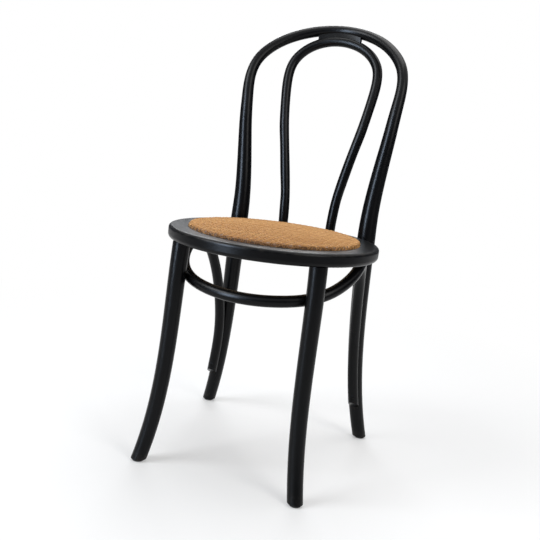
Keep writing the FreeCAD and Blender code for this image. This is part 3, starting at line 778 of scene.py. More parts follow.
def grown(name: str, tree: Tree, values: Values, material: Material, seed_mesh: Mesh | None = None) -> Piece:
    """Runs a Geometry Nodes tree once and keeps its result as a plain mesh.

    Args:
        name: the piece's name.
        tree: the tree.
        values: what its inputs get, by name.
        material: the finish of the result.
        seed_mesh: the mesh that the tree starts from, if it takes one.

    Returns:
        The finished piece, with no modifier.
    """
    mesh = seed_mesh or bpy.data.meshes.new(name + "_seed")
    source = bpy.data.objects.new(name + "_seed", mesh)
    bpy.context.scene.collection.objects.link(source)
    modifier = source.modifiers.new("made", "NODES")
    modifier.node_group = tree
    names = {item.name: item.identifier for item in tree.interface.items_tree if item.in_out == "INPUT"}
    for label, value in values.items():
        modifier[names[label]] = value
    result = plain_result(source)
    bpy.data.objects.remove(source)
    piece = new_piece(name, result, material)
    LOG.info("%s: %d faces", name, len(result.polygons))
    return piece


def apply_modifiers(piece: Piece) -> None:
    """Puts the result of a piece's modifiers into its mesh and removes them.

    Args:
        piece: the object.
    """
    result = plain_result(piece)
    piece.modifiers.clear()
    piece.data = result


def stand_in(piece: Piece, node: str) -> None:
    """Hangs a piece on the chair's body and hides the CAD node that it replaces.

    Args:
        piece: the piece of the scene.
        node: the CAD node that it replaces.
    """
    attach(piece, BODY)
    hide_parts(node)


@dataclass(frozen=True)
class SeatSection:
    """Half of the section through the woven seat, from the crown's middle out and round under the panel."""

    rim_radius: float
    crown_height: float
    wall_top: float
    bottom: float
    shoulder: float = 5.0 * MM
    fold: float = 2.4 * MM
    turn_in: float = 20.0 * MM

    WALL_RISE = 1.5 * MM
    CROWN_STEPS = 40
    SHOULDER_STEPS = 10
    WALL_STEPS = 4
    FOLD_STEPS = 6
    UNDER_STEPS = 6

    @classmethod
    def from_frame(cls) -> "SeatSection":
        """Reads the section from the boxes of the cover and the ring.

        Returns:
            The section of the cover's outer face.
        """
        low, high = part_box("cane_cover")
        ring_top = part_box("seat_ring")[1].z
        return cls((high.x - low.x) / 2, high.z, ring_top + cls.WALL_RISE, low.z)

    @property
    def crown_radius(self) -> float:
        """The radius of the crown's arc, which is tangent to the shoulder."""
        reach = self.rim_radius - self.shoulder
        rise = self.crown_height - self.wall_top
        return (reach**2 + rise**2 - self.shoulder**2) / (2 * (rise - self.shoulder))

    def points(self, inset: float) -> Line:
        """Gives the section of a layer that lies some way below the outer face.

        Args:
            inset: how far the layer lies inside the cover's outer face.

        Returns:
            Radius and height of each point, from the middle outwards.
        """
        crown = self.crown_radius
        centre_height = self.crown_height - crown
        reach = self.rim_radius - self.shoulder
        lean = math.atan2(reach, self.wall_top - centre_height)
        skin = crown - inset
        line = []
        for k in range(self.CROWN_STEPS + 1):
            angle = lean * k / self.CROWN_STEPS
            line.append((skin * math.sin(angle), centre_height + skin * math.cos(angle)))
        bend = self.shoulder - inset
        for k in range(1, self.SHOULDER_STEPS + 1):
            angle = lean + (math.pi / 2 - lean) * k / self.SHOULDER_STEPS
            line.append((reach + bend * math.sin(angle), self.wall_top + bend * math.cos(angle)))
        fold = self.fold - inset
        fold_height = self.bottom + inset + fold
        wall = self.rim_radius - inset
        drop = self.wall_top - fold_height
        for k in range(1, self.WALL_STEPS + 1):
            line.append((wall, self.wall_top - drop * k / self.WALL_STEPS))
        for k in range(1, self.FOLD_STEPS + 1):
            angle = math.pi / 2 * k / self.FOLD_STEPS
            line.append((wall - fold * (1 - math.cos(angle)), fold_height - fold * math.sin(angle)))
        inner = self.rim_radius - self.turn_in
        start = wall - fold
        for k in range(1, self.UNDER_STEPS + 1):
            line.append((start - (start - inner) * k / self.UNDER_STEPS, self.bottom + inset))
        return line

    def length(self, inset: float) -> float:
        """Returns the length of that section: the radius of the flat disc that it was cut from."""
        line = np.array(self.points(inset))
        return float(np.linalg.norm(np.diff(line, axis=0), axis=1).sum())


@dataclass(frozen=True)
class StrandFamily:
    """One direction of strands in the six-way weave."""

    name: str
    heading: float
    paired: bool
    wave_axis: Triple
    amplitude: float
    phase: float


def poly_curve(name: str, dimensions: str, points: list[tuple[float, ...]], closed: bool) -> Piece:
    """Makes a curve object of straight parts, which isn't in the scene.

    Args:
        name: its name.
        dimensions: "2D" or "3D".
        points: the place of each point.
        closed: whether the last point joins the first one.

    Returns:
        The curve.
    """
    curve = bpy.data.curves.new(name, "CURVE")
    curve.dimensions = dimensions
    spline = curve.splines.new("POLY")
    spline.points.add(len(points) - 1)
    spline.use_cyclic_u = closed
    for held, place in zip(spline.points, points):
        held.co = (*place, 1.0)
    return bpy.data.objects.new(name, curve)


@dataclass
class SeatWeave:
    """Builds the woven cane: pairs that run lengthwise and crosswise, single strands on both diagonals."""

    section: SeatSection
    centre: Vector
    pitch: float = 12.7 * MM
    pair_gap: float = 1.86 * MM
    strand_width: float = 2.3 * MM
    strand_thickness: float = 0.46 * MM
    flat_share: float = 0.86
    shoulder_share: float = 0.1
    layer: float = 0.8 * MM
    lift: float = 0.46 * MM
    edge_gap: float = 1.0 * MM
    paired_steps: int = 10
    single_steps: int = 8

    def families(self) -> list[StrandFamily]:
        """Gives the four directions of the weave.

        Returns:
            The directions, each with the wave that takes it over and under the others.
        """
        node_wave = math.sin(2 * math.pi * self.pair_gap / self.pitch)
        pair_lift = self.lift / 2 / node_wave
        ahead, side = (0.0, 1.0, 0.0), (1.0, 0.0, 0.0)
        quarter, eighth = math.pi / 2, math.pi / 4
        return [
            StrandFamily("cane_strands_lengthwise", quarter, True, ahead, -pair_lift, 0.0),
            StrandFamily("cane_strands_crosswise", 0.0, True, side, pair_lift, 0.0),
            StrandFamily("cane_strands_diagonal_left", eighth, False, side, self.lift, quarter),
            StrandFamily("cane_strands_diagonal_right", -eighth, False, side, -self.lift, quarter),
        ]

    def section_curve(self) -> Piece:
        """Returns the line that the strands are laid over."""
        points = [(radius, 0.0, height) for radius, height in self.section.points(self.layer)]
        return poly_curve("seat_section", "3D", points, False)

    def strand_outline(self) -> Piece:
        """Makes the section of one strand: flat below, with a low round skin above.

        Returns:
            The closed curve.
        """
        half = self.strand_width / 2
        rise = self.strand_thickness / 2
        flat, shoulder = half * self.flat_share, rise * self.shoulder_share
        corners = [(-flat, -rise), (flat, -rise), (half, shoulder), (0.0, rise), (-half, shoulder)]
        return poly_curve("strand_outline", "2D", [(x, y, 0.0) for x, y in corners], True)

    @staticmethod
    def straight_strands(sketch: GroupSketch) -> Socket:
        """Adds the nodes that lay straight strands side by side, each cut to the flat disc.

        Args:
            sketch: the tree's sketch.

        Returns:
            The strands as curves along X, in even steps.
        """
        given = sketch.given
        stray_most = 0.12 * MM
        least_square = 0.000001
        index = sketch.result("GeometryNodeInputIndex")
        group = sketch.math("FLOOR", sketch.over(index, given["Per Group"]))
        groups = sketch.over(given["Strands"], given["Per Group"])
        middle = sketch.times(sketch.minus(groups, 1.0), 0.5)
        side = sketch.times_plus(sketch.math("MODULO", index, given["Per Group"]), 2.0, -1.0)
        stray = sketch.random(-stray_most, stray_most)
        apart = sketch.times_plus(side, given["Pair Gap"], stray)
        offset = sketch.times_plus(sketch.minus(group, middle), given["Spacing"], apart)
        places = sketch.joined(0.0, offset, 0.0)
        points = sketch.result("GeometryNodePoints", {"Count": given["Strands"], "Position": places})
        sideways = sketch.parts(sketch.result("GeometryNodeInputPosition"))[1]
        squared = sketch.times(given["Cut Radius"], given["Cut Radius"])
        left = sketch.minus(squared, sketch.times(sideways, sideways))
        reach = sketch.math("SQRT", sketch.math("MAXIMUM", left, least_square))
        ends = {"Start": (-1.0, 0.0, 0.0), "End": (1.0, 0.0, 0.0)}
        line = sketch.result("GeometryNodeCurvePrimitiveLine", ends)
        scale = sketch.joined(reach, 1.0, 1.0)
        laid = sketch.result(
            "GeometryNodeInstanceOnPoints", {"Points": points, "Instance": line, "Scale": scale}
        )
        strands = sketch.result("GeometryNodeRealizeInstances", {0: laid})
        return sketch.result(
            "GeometryNodeResampleCurve", {"Curve": strands, "Length": given["Step"]}, mode="LENGTH"
        )

    @staticmethod
    def kept(
        sketch: GroupSketch, geometry: Socket, name: str, kind: str, value: Socket, domain: str = "POINT"
    ) -> tuple[Socket, Socket]:
        """Adds a node that keeps a value on the geometry while its shape changes.

        Args:
            sketch: the tree's sketch.
            geometry: the geometry.
            name: the value's name.
            kind: its type, as the node names it.
            value: the value.
            domain: what carries it.

        Returns:
            The geometry, and the kept value.
        """
        holder = sketch.node("GeometryNodeCaptureAttribute", {0: geometry}, domain=domain)
        holder.capture_items.new(kind, name)
        sketch.fill(holder, {name: value})
        return holder.outputs[0], holder.outputs[name]

    @staticmethod
    def crowned_place(sketch: GroupSketch, flat_place: Socket) -> tuple[Socket, Socket]:
        """Adds the nodes that lay a flat place over the crown of the seat and lift it with the weave.

        Args:
            sketch: the tree's sketch.
            flat_place: the place on the straight strand.

        Returns:
            The place on the seat, and the way that is outwards there.
        """
        given = sketch.given
        wave_steepness = 1.5
        turn = {"Vector": flat_place, "Angle": given["Heading"]}
        turned = sketch.result("ShaderNodeVectorRotate", turn, rotation_type="Z_AXIS")
        from_middle = sketch.length(turned)
        outward = sketch.vector("NORMALIZE", turned)
        section = sketch.node("GeometryNodeObjectInfo", {"Object": given["Section"]}).outputs["Geometry"]
        sampled = sketch.node(
            "GeometryNodeSampleCurve", {"Curves": section, "Length": from_middle},
            mode="LENGTH", use_all_curves=True,
        )
        radius, _, height = sketch.parts(sampled.outputs["Position"])
        run_out, _, run_up = sketch.parts(sampled.outputs["Tangent"])
        inward = sketch.scaled(outward, sketch.times(run_up, -1.0))
        normal = sketch.vector("ADD", inward, sketch.joined(0.0, 0.0, run_out))
        axis_place = sketch.node(
            "ShaderNodeVectorMath", {0: turned, 1: given["Wave Axis"]}, operation="DOT_PRODUCT"
        ).outputs["Value"]
        turns = sketch.over(axis_place, given["Pitch"])
        wave = sketch.math("SINE", sketch.times_plus(turns, 2 * math.pi, given["Phase"]))
        held = sketch.math("MINIMUM", sketch.times(wave, wave_steepness), 1.0)
        flat_wave = sketch.math("MAXIMUM", held, -1.0)
        single = sketch.math("COMPARE", given["Per Group"], 1.0, 0.1)
        shape = sketch.plus(wave, sketch.times(single, sketch.minus(flat_wave, wave)))
        pair_place = sketch.over(sketch.parts(flat_place)[1], given["Spacing"])
        which = sketch.math("SIGN", sketch.minus(pair_place, sketch.math("ROUND", pair_place)))
        lay = sketch.plus(single, sketch.times(sketch.minus(1.0, single), which))
        raised = sketch.times(sketch.times(shape, given["Lift"]), lay)
        base = sketch.vector("ADD", sketch.scaled(outward, radius), sketch.joined(0.0, 0.0, height))
        return sketch.vector("ADD", base, sketch.scaled(normal, raised)), normal

    def build_tree(self) -> Tree:
        """Builds the Geometry Nodes tree that lays one family of strands over the crowned seat.

        Returns:
            The tree.
        """
        sketch = GroupSketch(
            "laid_strands", GEOMETRY_TREE,
            {
                "Section": OBJECT, "Outline": OBJECT, "Cane": MATERIAL,
                "Strands": INTEGER, "Per Group": INTEGER, "Seed": INTEGER,
                "Spacing": FLOAT, "Pair Gap": FLOAT, "Pitch": FLOAT, "Cut Radius": FLOAT, "Step": FLOAT,
                "Heading": FLOAT, "Lift": FLOAT, "Phase": FLOAT, "Half Width": FLOAT,
                "Wave Axis": VECTOR, "Seat Centre": VECTOR,
            },
            {"Geometry": GEOMETRY},
        )
        given = sketch.given
        strands = self.straight_strands(sketch)
        strands, tone = self.kept(sketch, strands, "Tone", "FLOAT", sketch.random(0.0, 1.0), "CURVE")
        flat_place = sketch.result("GeometryNodeInputPosition")
        strands, along = self.kept(sketch, strands, "Along", "FLOAT", sketch.parts(flat_place)[0])
        place, normal = self.crowned_place(sketch, flat_place)
        strands, upward = self.kept(sketch, strands, "Upward", "VECTOR", normal)
        moved = sketch.result(
            "GeometryNodeSetPosition",
            {"Geometry": strands, "Position": sketch.vector("ADD", place, given["Seat Centre"])},
        )
        faced = sketch.result("GeometryNodeSetCurveNormal", {"Curve": moved, "Normal": upward}, mode="FREE")
        outline = sketch.node("GeometryNodeObjectInfo", {"Object": given["Outline"]}).outputs["Geometry"]
        outline_x = sketch.parts(sketch.result("GeometryNodeInputPosition"))[0]
        share = sketch.over(outline_x, sketch.times(given["Half Width"], 2.0))
        outline, across = self.kept(sketch, outline, "Across", "FLOAT", share)
        swept = sketch.result(
            "GeometryNodeCurveToMesh", {"Curve": faced, "Profile Curve": outline, "Fill Caps": True}
        )
        marked = sketch.result(
            "GeometryNodeStoreNamedAttribute",
            {"Geometry": swept, "Name": "strand", "Value": sketch.joined(along, across, tone)},
            data_type="FLOAT_VECTOR", domain="POINT",
        )
        return sketch.dressed(marked, given["Cane"])

    def build(self, material: Material) -> list[Piece]:
        """Lays all four families.

        Args:
            material: the cane.

        Returns:
            One plain mesh piece for each family.
        """
        tree = self.build_tree()
        section = self.section_curve()
        outline = self.strand_outline()
        cut = self.section.length(self.layer) - self.edge_gap
        pieces = []
        for seed, family in enumerate(self.families()):
            spacing = self.pitch if family.paired else self.pitch / math.sqrt(2)
            groups = int(2 * cut / spacing)
            if groups % 2 == (0 if family.paired else 1):
                groups -= 1
            per_group = 2 if family.paired else 1
            values = {
                "Section": section,
                "Outline": outline,
                "Strands": groups * per_group,
                "Per Group": per_group,
                "Spacing": spacing,
                "Pair Gap": self.pair_gap if family.paired else 0.0,
                "Pitch": self.pitch,
                "Cut Radius": cut,
                "Step": self.pitch / (self.paired_steps if family.paired else self.single_steps),
                "Heading": family.heading,
                "Wave Axis": family.wave_axis,
                "Lift": family.amplitude,
                "Phase": family.phase,
                "Half Width": self.strand_width / 2,
                "Seat Centre": tuple(self.centre),
                "Seed": seed,
                "Cane": material,
            }
            pieces.append(grown(family.name, tree, values, material))
        for helper in (section, outline):
            bpy.data.objects.remove(helper)
        return pieces


PlaceShift = Callable[[float, float, float, float], tuple[float, float]]


def turned_mesh(name: str, section: Line, centre: Vector, steps: int, shift: PlaceShift) -> Mesh:
    """Turns a section about the seat's upright axis.

    Args:
        name: the mesh's name.
        section: radius and height of each point, the first of them on the axis.
        centre: the middle of the seat.
        steps: how many parts the turn is cut into.
        shift: gives a point's final radius and height, from its radius, height, angle and section share.

    Returns:
        The mesh, open at its last ring.
    """
    mesh = bpy.data.meshes.new(name)
    build = bmesh.new()
    top = build.verts.new((centre.x, centre.y, section[0][1]))
    rings = []
    for k, (radius, height) in enumerate(section[1:], 1):
        ring = []
        for j in range(steps):
            angle = 2 * math.pi * j / steps
            r, z = shift(radius, height, angle, k / (len(section) - 1))
            ring.append(build.verts.new((centre.x + r * math.cos(angle), centre.y + r * math.sin(angle), z)))
        rings.append(ring)
    for j in range(steps):
        build.faces.new((top, rings[0][j], rings[0][(j + 1) % steps]))
    for inner, outer in zip(rings, rings[1:]):
        for j in range(steps):
            n = (j + 1) % steps
            build.faces.new((inner[j], outer[j], outer[n], inner[n]))
    build.to_mesh(mesh)
    build.free()
    return mesh


@dataclass(frozen=True)
class PadForm:
    """The felt pad: a low crown, a round shoulder, a side that pulls in a little and a flat underside."""

    reach: float
    top: float
    bottom: float
    shoulder: float = 3.0 * MM
    shoulder_room: float = 1.15
    crown_share: float = 0.85
    pull_in: float = 0.5 * MM
    foot_height: float = 0.4 * MM
    foot_inset: float = 1.4 * MM
    foot_edge: float = 0.05 * MM
    underside: float = 0.02 * MM
    unevenness: float = 0.12 * MM
    even_height: float = 3.0 * MM

    CROWN_STEPS = 30
    SHOULDER_STEPS = 8
    SIDE_STEPS = 4
    UNDER_STEPS = 12
    ANGLE_WAVES = 5
    RADIUS_WAVES = 28
    TWIST = 40

    @classmethod
    def from_frame(cls) -> "PadForm":
        """Returns the pad that fits the box of the CAD pad."""
        low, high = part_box("seat_pad")
        return cls((high.x - low.x) / 2, high.z, low.z)

    def outline(self) -> Line:
        """Gives half of the section through the pad.

        Returns:
            Radius and height of each point, from the top of the crown round to the middle of the underside.
        """
        flat = self.reach - self.shoulder
        rise = self.top - self.bottom
        line = []
        for k in range(self.CROWN_STEPS + 1):
            share = k / self.CROWN_STEPS
            drop = (rise - self.shoulder * self.shoulder_room) * share**2 * self.crown_share
            line.append((flat * share, self.top - drop))
        edge = line[-1][1] - self.shoulder
        for k in range(1, self.SHOULDER_STEPS + 1):
            angle = math.pi / 2 * k / self.SHOULDER_STEPS
            line.append((flat + self.shoulder * math.sin(angle), edge + self.shoulder * math.cos(angle)))
        for k in range(1, self.SIDE_STEPS + 1):
            down = (edge - self.bottom - self.foot_height) * k / self.SIDE_STEPS
            line.append((self.reach - self.pull_in * k / self.SIDE_STEPS, edge - down))
        foot = self.reach - self.foot_inset
        line.append((foot, self.bottom + self.foot_edge))
        for k in range(1, self.UNDER_STEPS):
            line.append((foot * (1 - k / self.UNDER_STEPS), self.bottom + self.underside))
        return line

    def pressed(self, radius: float, height: float, angle: float, share: float) -> tuple[float, float]:
        """Gives the felt the slight unevenness of hand-laid layers.

        Args:
            radius: a point's radius.
            height: its height.
            angle: its angle round the seat.
            share: its share of the outline; not used.

        Returns:
            The point's new radius and height.
        """
        if height <= self.bottom + self.even_height:
            return radius, height
        around = math.sin(self.ANGLE_WAVES * angle + self.TWIST * radius)
        uneven = around * math.sin(self.RADIUS_WAVES * radius / self.reach)
        return radius, height - self.unevenness * (1 + uneven)


@dataclass
class CaneSeat:
    """The woven cover, the cloth that it is glued to, and the pad below."""

    effects: Effects
    cloth_inset: float = 1.45 * MM
    cloth_thickness: float = 0.18 * MM
    cloth_steps: int = 256
    cloth_thread: float = 0.9 * MM
    pleats: int = 64
    pleat_rise: float = 0.12 * MM
    pleat_start: float = 0.9
    pleat_run: float = 0.1
    pad_steps: int = 160
    felt_thread: float = 1.2 * MM
    felt_matted: float = 0.8
    section: SeatSection = field(default_factory=SeatSection.from_frame)
    centre: Vector = field(default_factory=seat_centre)

    CLOTH_COLOURS = (0.210, 0.108, 0.043, 1.0), (0.110, 0.052, 0.020, 1.0)
    FELT_COLOURS = (0.290, 0.270, 0.240, 1.0), (0.160, 0.145, 0.125, 1.0)

    def build(self) -> None:
        """Builds the three layers and hides the CAD nodes that they replace."""
        strands = SeatWeave(self.section, self.centre).build(Cane().material("peeled_cane"))
        for piece in strands:
            stand_in(piece, "cane_cover")
        cloth = self.build_cloth()
        pad = self.build_pad()
        side = 2 * self.section.length(self.cloth_inset)

    def pleated(self, radius: float, height: float, angle: float, share: float) -> tuple[float, float]:
        """Lifts the turned-in edge of the cloth into pleats.

        Args:
            radius: a point's radius.
            height: its height.
            angle: its angle round the seat.
            share: its share of the section.

        Returns:
            The point's new radius and height.
        """
        under = max(0.0, min(1.0, (share - self.pleat_start) / self.pleat_run))
        wave = 0.5 + 0.5 * math.sin(self.pleats * angle)
        return radius, height + under * wave * self.pleat_rise

    def build_cloth(self) -> Piece:
        """Makes the cloth under the cane, with the small pleats where it turns in below the panel.

        Returns:
            The cloth, with its thickness.
        """
        backing = Cloth(self.effects, *self.CLOTH_COLOURS, self.cloth_thread, 0.0).material("backing_cloth")
        line = self.section.points(self.cloth_inset)
        mesh = turned_mesh("cane_backing", line, self.centre, self.cloth_steps, self.pleated)
        piece = new_piece("cane_backing", mesh, backing)
        thicken = piece.modifiers.new("cloth", "SOLIDIFY")
        thicken.thickness = self.cloth_thickness
        thicken.offset = 0.0
        apply_modifiers(piece)
        stand_in(piece, "cane_cover")
        LOG.info("cane_backing: cloth of %.3f m", 2 * self.section.length(self.cloth_inset))
        return piece

    def build_pad(self) -> Piece:
        """Makes the crowned felt pad, closed below.

        Returns:
            The pad.
        """
        felt = Cloth(self.effects, *self.FELT_COLOURS, self.felt_thread, self.felt_matted)
        form = PadForm.from_frame()
        mesh = turned_mesh("felt_pad", form.outline(), self.centre, self.pad_steps, form.pressed)
        build = bmesh.new()
        build.from_mesh(mesh)
        bmesh.ops.holes_fill(build, edges=[edge for edge in build.edges if edge.is_boundary], sides=0)
        bmesh.ops.recalc_face_normals(build, faces=build.faces)
        build.to_mesh(mesh)
        build.free()
        piece = new_piece("felt_pad", mesh, felt.material("pressed_felt"))
        stand_in(piece, "seat_pad")
        LOG.info("felt_pad: %d faces", len(mesh.polygons))
        return piece


@dataclass
class Woodwork:
    """The bent and turned wooden pieces, which keep their CAD shape and get their lacquer."""

    effects: Effects
    foot_wear_height: float = 26 * MM
    rim_wear_start: float = 8 * MM
    rim_wear_full: float = 3 * MM

    def __post_init__(self) -> None:
        """Reads what the wear needs from the frame."""
        low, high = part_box("seat_ring")
        self.ring_radius = (high.x - low.x) / 2
        self.ring_top = high.z
        self.foot_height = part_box("front_leg_left")[0].z
        self.centre = seat_centre()

    def foot_wear(self, sketch: Sketch, place: Socket) -> Socket:
        """Returns how near a place is to the foot of a leg."""
        height = sketch.parts(place)[2]
        return sketch.fade(height, start=self.foot_height + self.foot_wear_height, end=self.foot_height)

    def rim_wear(self, sketch: Sketch, place: Socket) -> Socket:
        """Gives how near a place is to the ring's upper outer edge.

        Args:
            sketch: the material's sketch.
            place: the place, in metres.

        Returns:
            The nearness, from 0 to 1.
        """
        x, y, z = sketch.parts(sketch.vector("SUBTRACT", place, tuple(self.centre)))
        inward = sketch.minus(self.ring_radius, sketch.length(sketch.joined(x, y, 0.0)))
        down = sketch.minus(self.ring_top, z)
        return sketch.fade(sketch.plus(inward, down), self.rim_wear_start, self.rim_wear_full)

    def build(self) -> None:
        """Dresses every wooden node."""
        coat = Lacquer(self.effects)
        back, inner = ArchForm.of_bow("back_bow"), ArchForm.of_bow("inner_bow")
        dress("back_bow", coat.material("lacquer_bow", FibrePath.ARCH, back, self.foot_wear))
        dress("inner_bow", coat.material("lacquer_inner_bow", FibrePath.ARCH, inner))
        dress("crest_block", coat.material("lacquer_block", FibrePath.ACROSS))
        dress("seat_ring", coat.material("lacquer_ring", FibrePath.RING, None, self.rim_wear))
        dress("leg_brace", coat.material("lacquer_brace", FibrePath.HOOP))
        legs = coat.material("lacquer_legs", FibrePath.UPRIGHT, None, self.foot_wear)
        for node in ("front_leg_left", "front_leg_right"):
            dress(node, legs)
        dress("seat_panel", Plywood(self.effects).material("birch_plywood"))


@dataclass(frozen=True)
class FastenerPlace:
    """Where one fastener sits: the middle of its head's face, the way it points and its length."""

    head: Vector
    along: Vector
    length: float


def fastener_places(node: str) -> list[FastenerPlace]:
    """Reads the fasteners of a CAD node from its corners.

    Args:
        node: the node's name; its fasteners lie on both sides of the chair, and a set of four also lies apart
            in depth.

    Returns:
        One place for each fastener, with the wider end as its head.
    """
    corner_digits = 7
    least_spread = 100 * MM
    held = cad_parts[node]
    corners = np.array([held.matrix_world @ corner.co for corner in held.data.vertices])
    corners = np.unique(np.round(corners, corner_digits), axis=0)
    spread = np.ptp(corners[:, 1])
    right = corners[:, 0] > 0
    rear = (corners[:, 1] > corners[:, 1].mean()) & (spread > least_spread)
    places = []
    for on_right, at_rear in np.unique(np.stack([right, rear], axis=1), axis=0):
        mine = corners[(right == on_right) & (rear == at_rear)]
        middle = mine.mean(axis=0)
        along = np.linalg.svd(mine - middle)[2][0]
        run = (mine - middle) @ along
        reach = np.linalg.norm(mine - middle - np.outer(run, along), axis=1)
        if reach[run < 0].max() < reach[run > 0].max():
            along, run = -along, -run
        places.append(FastenerPlace(Vector(middle + along * run.min()), Vector(along), float(np.ptp(run))))
    return places


Outline = Callable[[float], float]
Row = tuple[float, Outline]


def round_row(height: float, radius: float) -> Row:
    """Returns one round row of a turned form."""
    return height, lambda angle: radius


def thread_rows(
    start: float, end: float, major: float, depth: float, pitch: float, tip: float = 0.0
) -> list[Row]:
    """Gives the rows of a screw thread.

    Args:
        start: where the thread begins.
        end: where it ends.
        major: its outer radius.
        depth: how deep it is cut.
        pitch: how far it climbs in one turn.
        tip: the length over which it draws to a point before its end.

    Returns:
        The rows, from start to end.
    """
    rows_per_turn = 8
    bluntness = 0.08

    def at(height: float) -> Row:
        """Gives one row, whose radius follows the thread round.

        Args:
            height: where the row lies.

        Returns:
            The row.
        """
        runout = min(1.0, (height - start) / pitch)
        taper = min(1.0, max(bluntness, (end - height) / tip)) if tip else 1.0

        def radius(angle: float) -> float:
            """Returns the thread's radius at an angle."""
            phase = (height / pitch - angle / (2 * math.pi)) % 1.0
            flank = abs(2 * phase - 1)
            return (major - depth * runout * (1 - flank**2)) * taper

        return height, radius

    steps = max(2, round((end - start) / pitch * rows_per_turn))
    return [at(start + (end - start) * k / steps) for k in range(steps + 1)]


def rowed_mesh(name: str, rows: list[Row], around: int, ring: bool = False) -> Mesh:
    """Builds a closed mesh from rows of points about the Z axis.

    Args:
        name: the mesh's name.
        rows: the height of each row, and its radius at each angle.
        around: how many points a row has.
        ring: whether the last row joins the first one, as in a nut, so that no end needs a cap.

    Returns:
        The mesh.
    """
    build = bmesh.new()
    angles = [2 * math.pi * j / around for j in range(around)]
    grid = []
    for height, radius in rows:
        points = [(radius(a) * math.cos(a), radius(a) * math.sin(a), height) for a in angles]
        grid.append([build.verts.new(point) for point in points])
    pairs = list(zip(grid, grid[1:]))
    if ring:
        pairs.append((grid[-1], grid[0]))
    for low, high in pairs:
        for j in range(around):
            n = (j + 1) % around
            build.faces.new((low[j], low[n], high[n], high[j]))
    if not ring:
        for row, (height, _) in ((grid[0], rows[0]), (grid[-1], rows[-1])):
            pole = build.verts.new((0.0, 0.0, height))
            for j in range(around):
                build.faces.new((pole, row[j], row[(j + 1) % around]))
    bmesh.ops.recalc_face_normals(build, faces=build.faces)
    mesh = bpy.data.meshes.new(name)
    build.to_mesh(mesh)
    build.free()
    return mesh


class Steel(Enum):
    """The two finishes of the fasteners, each with the record's slot for it."""

    PAINTED = "dark_steel"
    ZINC = "steel"


@dataclass(frozen=True)
class FastenerJob:
    """A set of equal fasteners: the node that it replaces, its own name, its finish and how it is turned."""

    node: str
    name: str
    steel: Steel
    most_roll: float
    seed: int


class FastenerSet:
    """Threaded fasteners that take the places of the plain CAD ones."""

    SHARP_ANGLE = math.radians(40)

    def __init__(self, metals: dict[Steel, Material]) -> None:
        """Keeps the finishes and builds the tree that sets a fastener at each place."""
        self.metals = metals
        self.tree = self.build_tree()

    @staticmethod
    def build_tree() -> Tree:
        """Builds the Geometry Nodes tree: one instance on each place, aimed and rolled.

        Returns:
            The tree.
        """
        sketch = GroupSketch(
            "set_fasteners", GEOMETRY_TREE,
            {"Places": GEOMETRY, "Fastener": OBJECT, "Most Roll": FLOAT, "Seed": INTEGER, "Metal": MATERIAL},
            {"Geometry": GEOMETRY},
        )
        given = sketch.given
        along = sketch.result("GeometryNodeInputNamedAttribute", {"Name": "along"}, data_type="FLOAT_VECTOR")
        aimed = sketch.result("FunctionNodeAlignRotationToVector", {"Vector": along}, axis="Z")
        upright = {"Axis": (0.0, 0.0, 1.0), "Angle": sketch.random(0.0, given["Most Roll"])}
        turn = sketch.result("FunctionNodeAxisAngleToRotation", upright)
        rolled = sketch.result("FunctionNodeRotateRotation", {0: aimed, 1: turn}, rotation_space="LOCAL")
        shape = sketch.node("GeometryNodeObjectInfo", {"Object": given["Fastener"]}).outputs["Geometry"]
        placed = sketch.result(
            "GeometryNodeInstanceOnPoints", {"Points": given["Places"], "Instance": shape, "Rotation": rolled}
        )
        return sketch.dressed(placed, given["Metal"])

    def place(self, job: FastenerJob, form: Piece, places: list[FastenerPlace]) -> None:
        """Sets one form at the places of a node, and hides that node.

        Args:
            job: what the set is and how it is turned.
            form: the fastener, its head face at the origin and its tip up the Z axis.
            places: where the fasteners sit.
        """
        mesh = bpy.data.meshes.new(job.name + "_places")
        mesh.from_pydata([place.head for place in places], [], [])
        aim = mesh.attributes.new("along", "FLOAT_VECTOR", "POINT")
        for held, place in zip(aim.data, places):
            held.vector = place.along
        metal = self.metals[job.steel]
        values = {"Fastener": form, "Most Roll": job.most_roll, "Seed": job.seed, "Metal": metal}
        piece = grown(job.name, self.tree, values, metal, mesh)
        piece.data.set_sharp_from_angle(angle=self.SHARP_ANGLE)
        stand_in(piece, job.node)


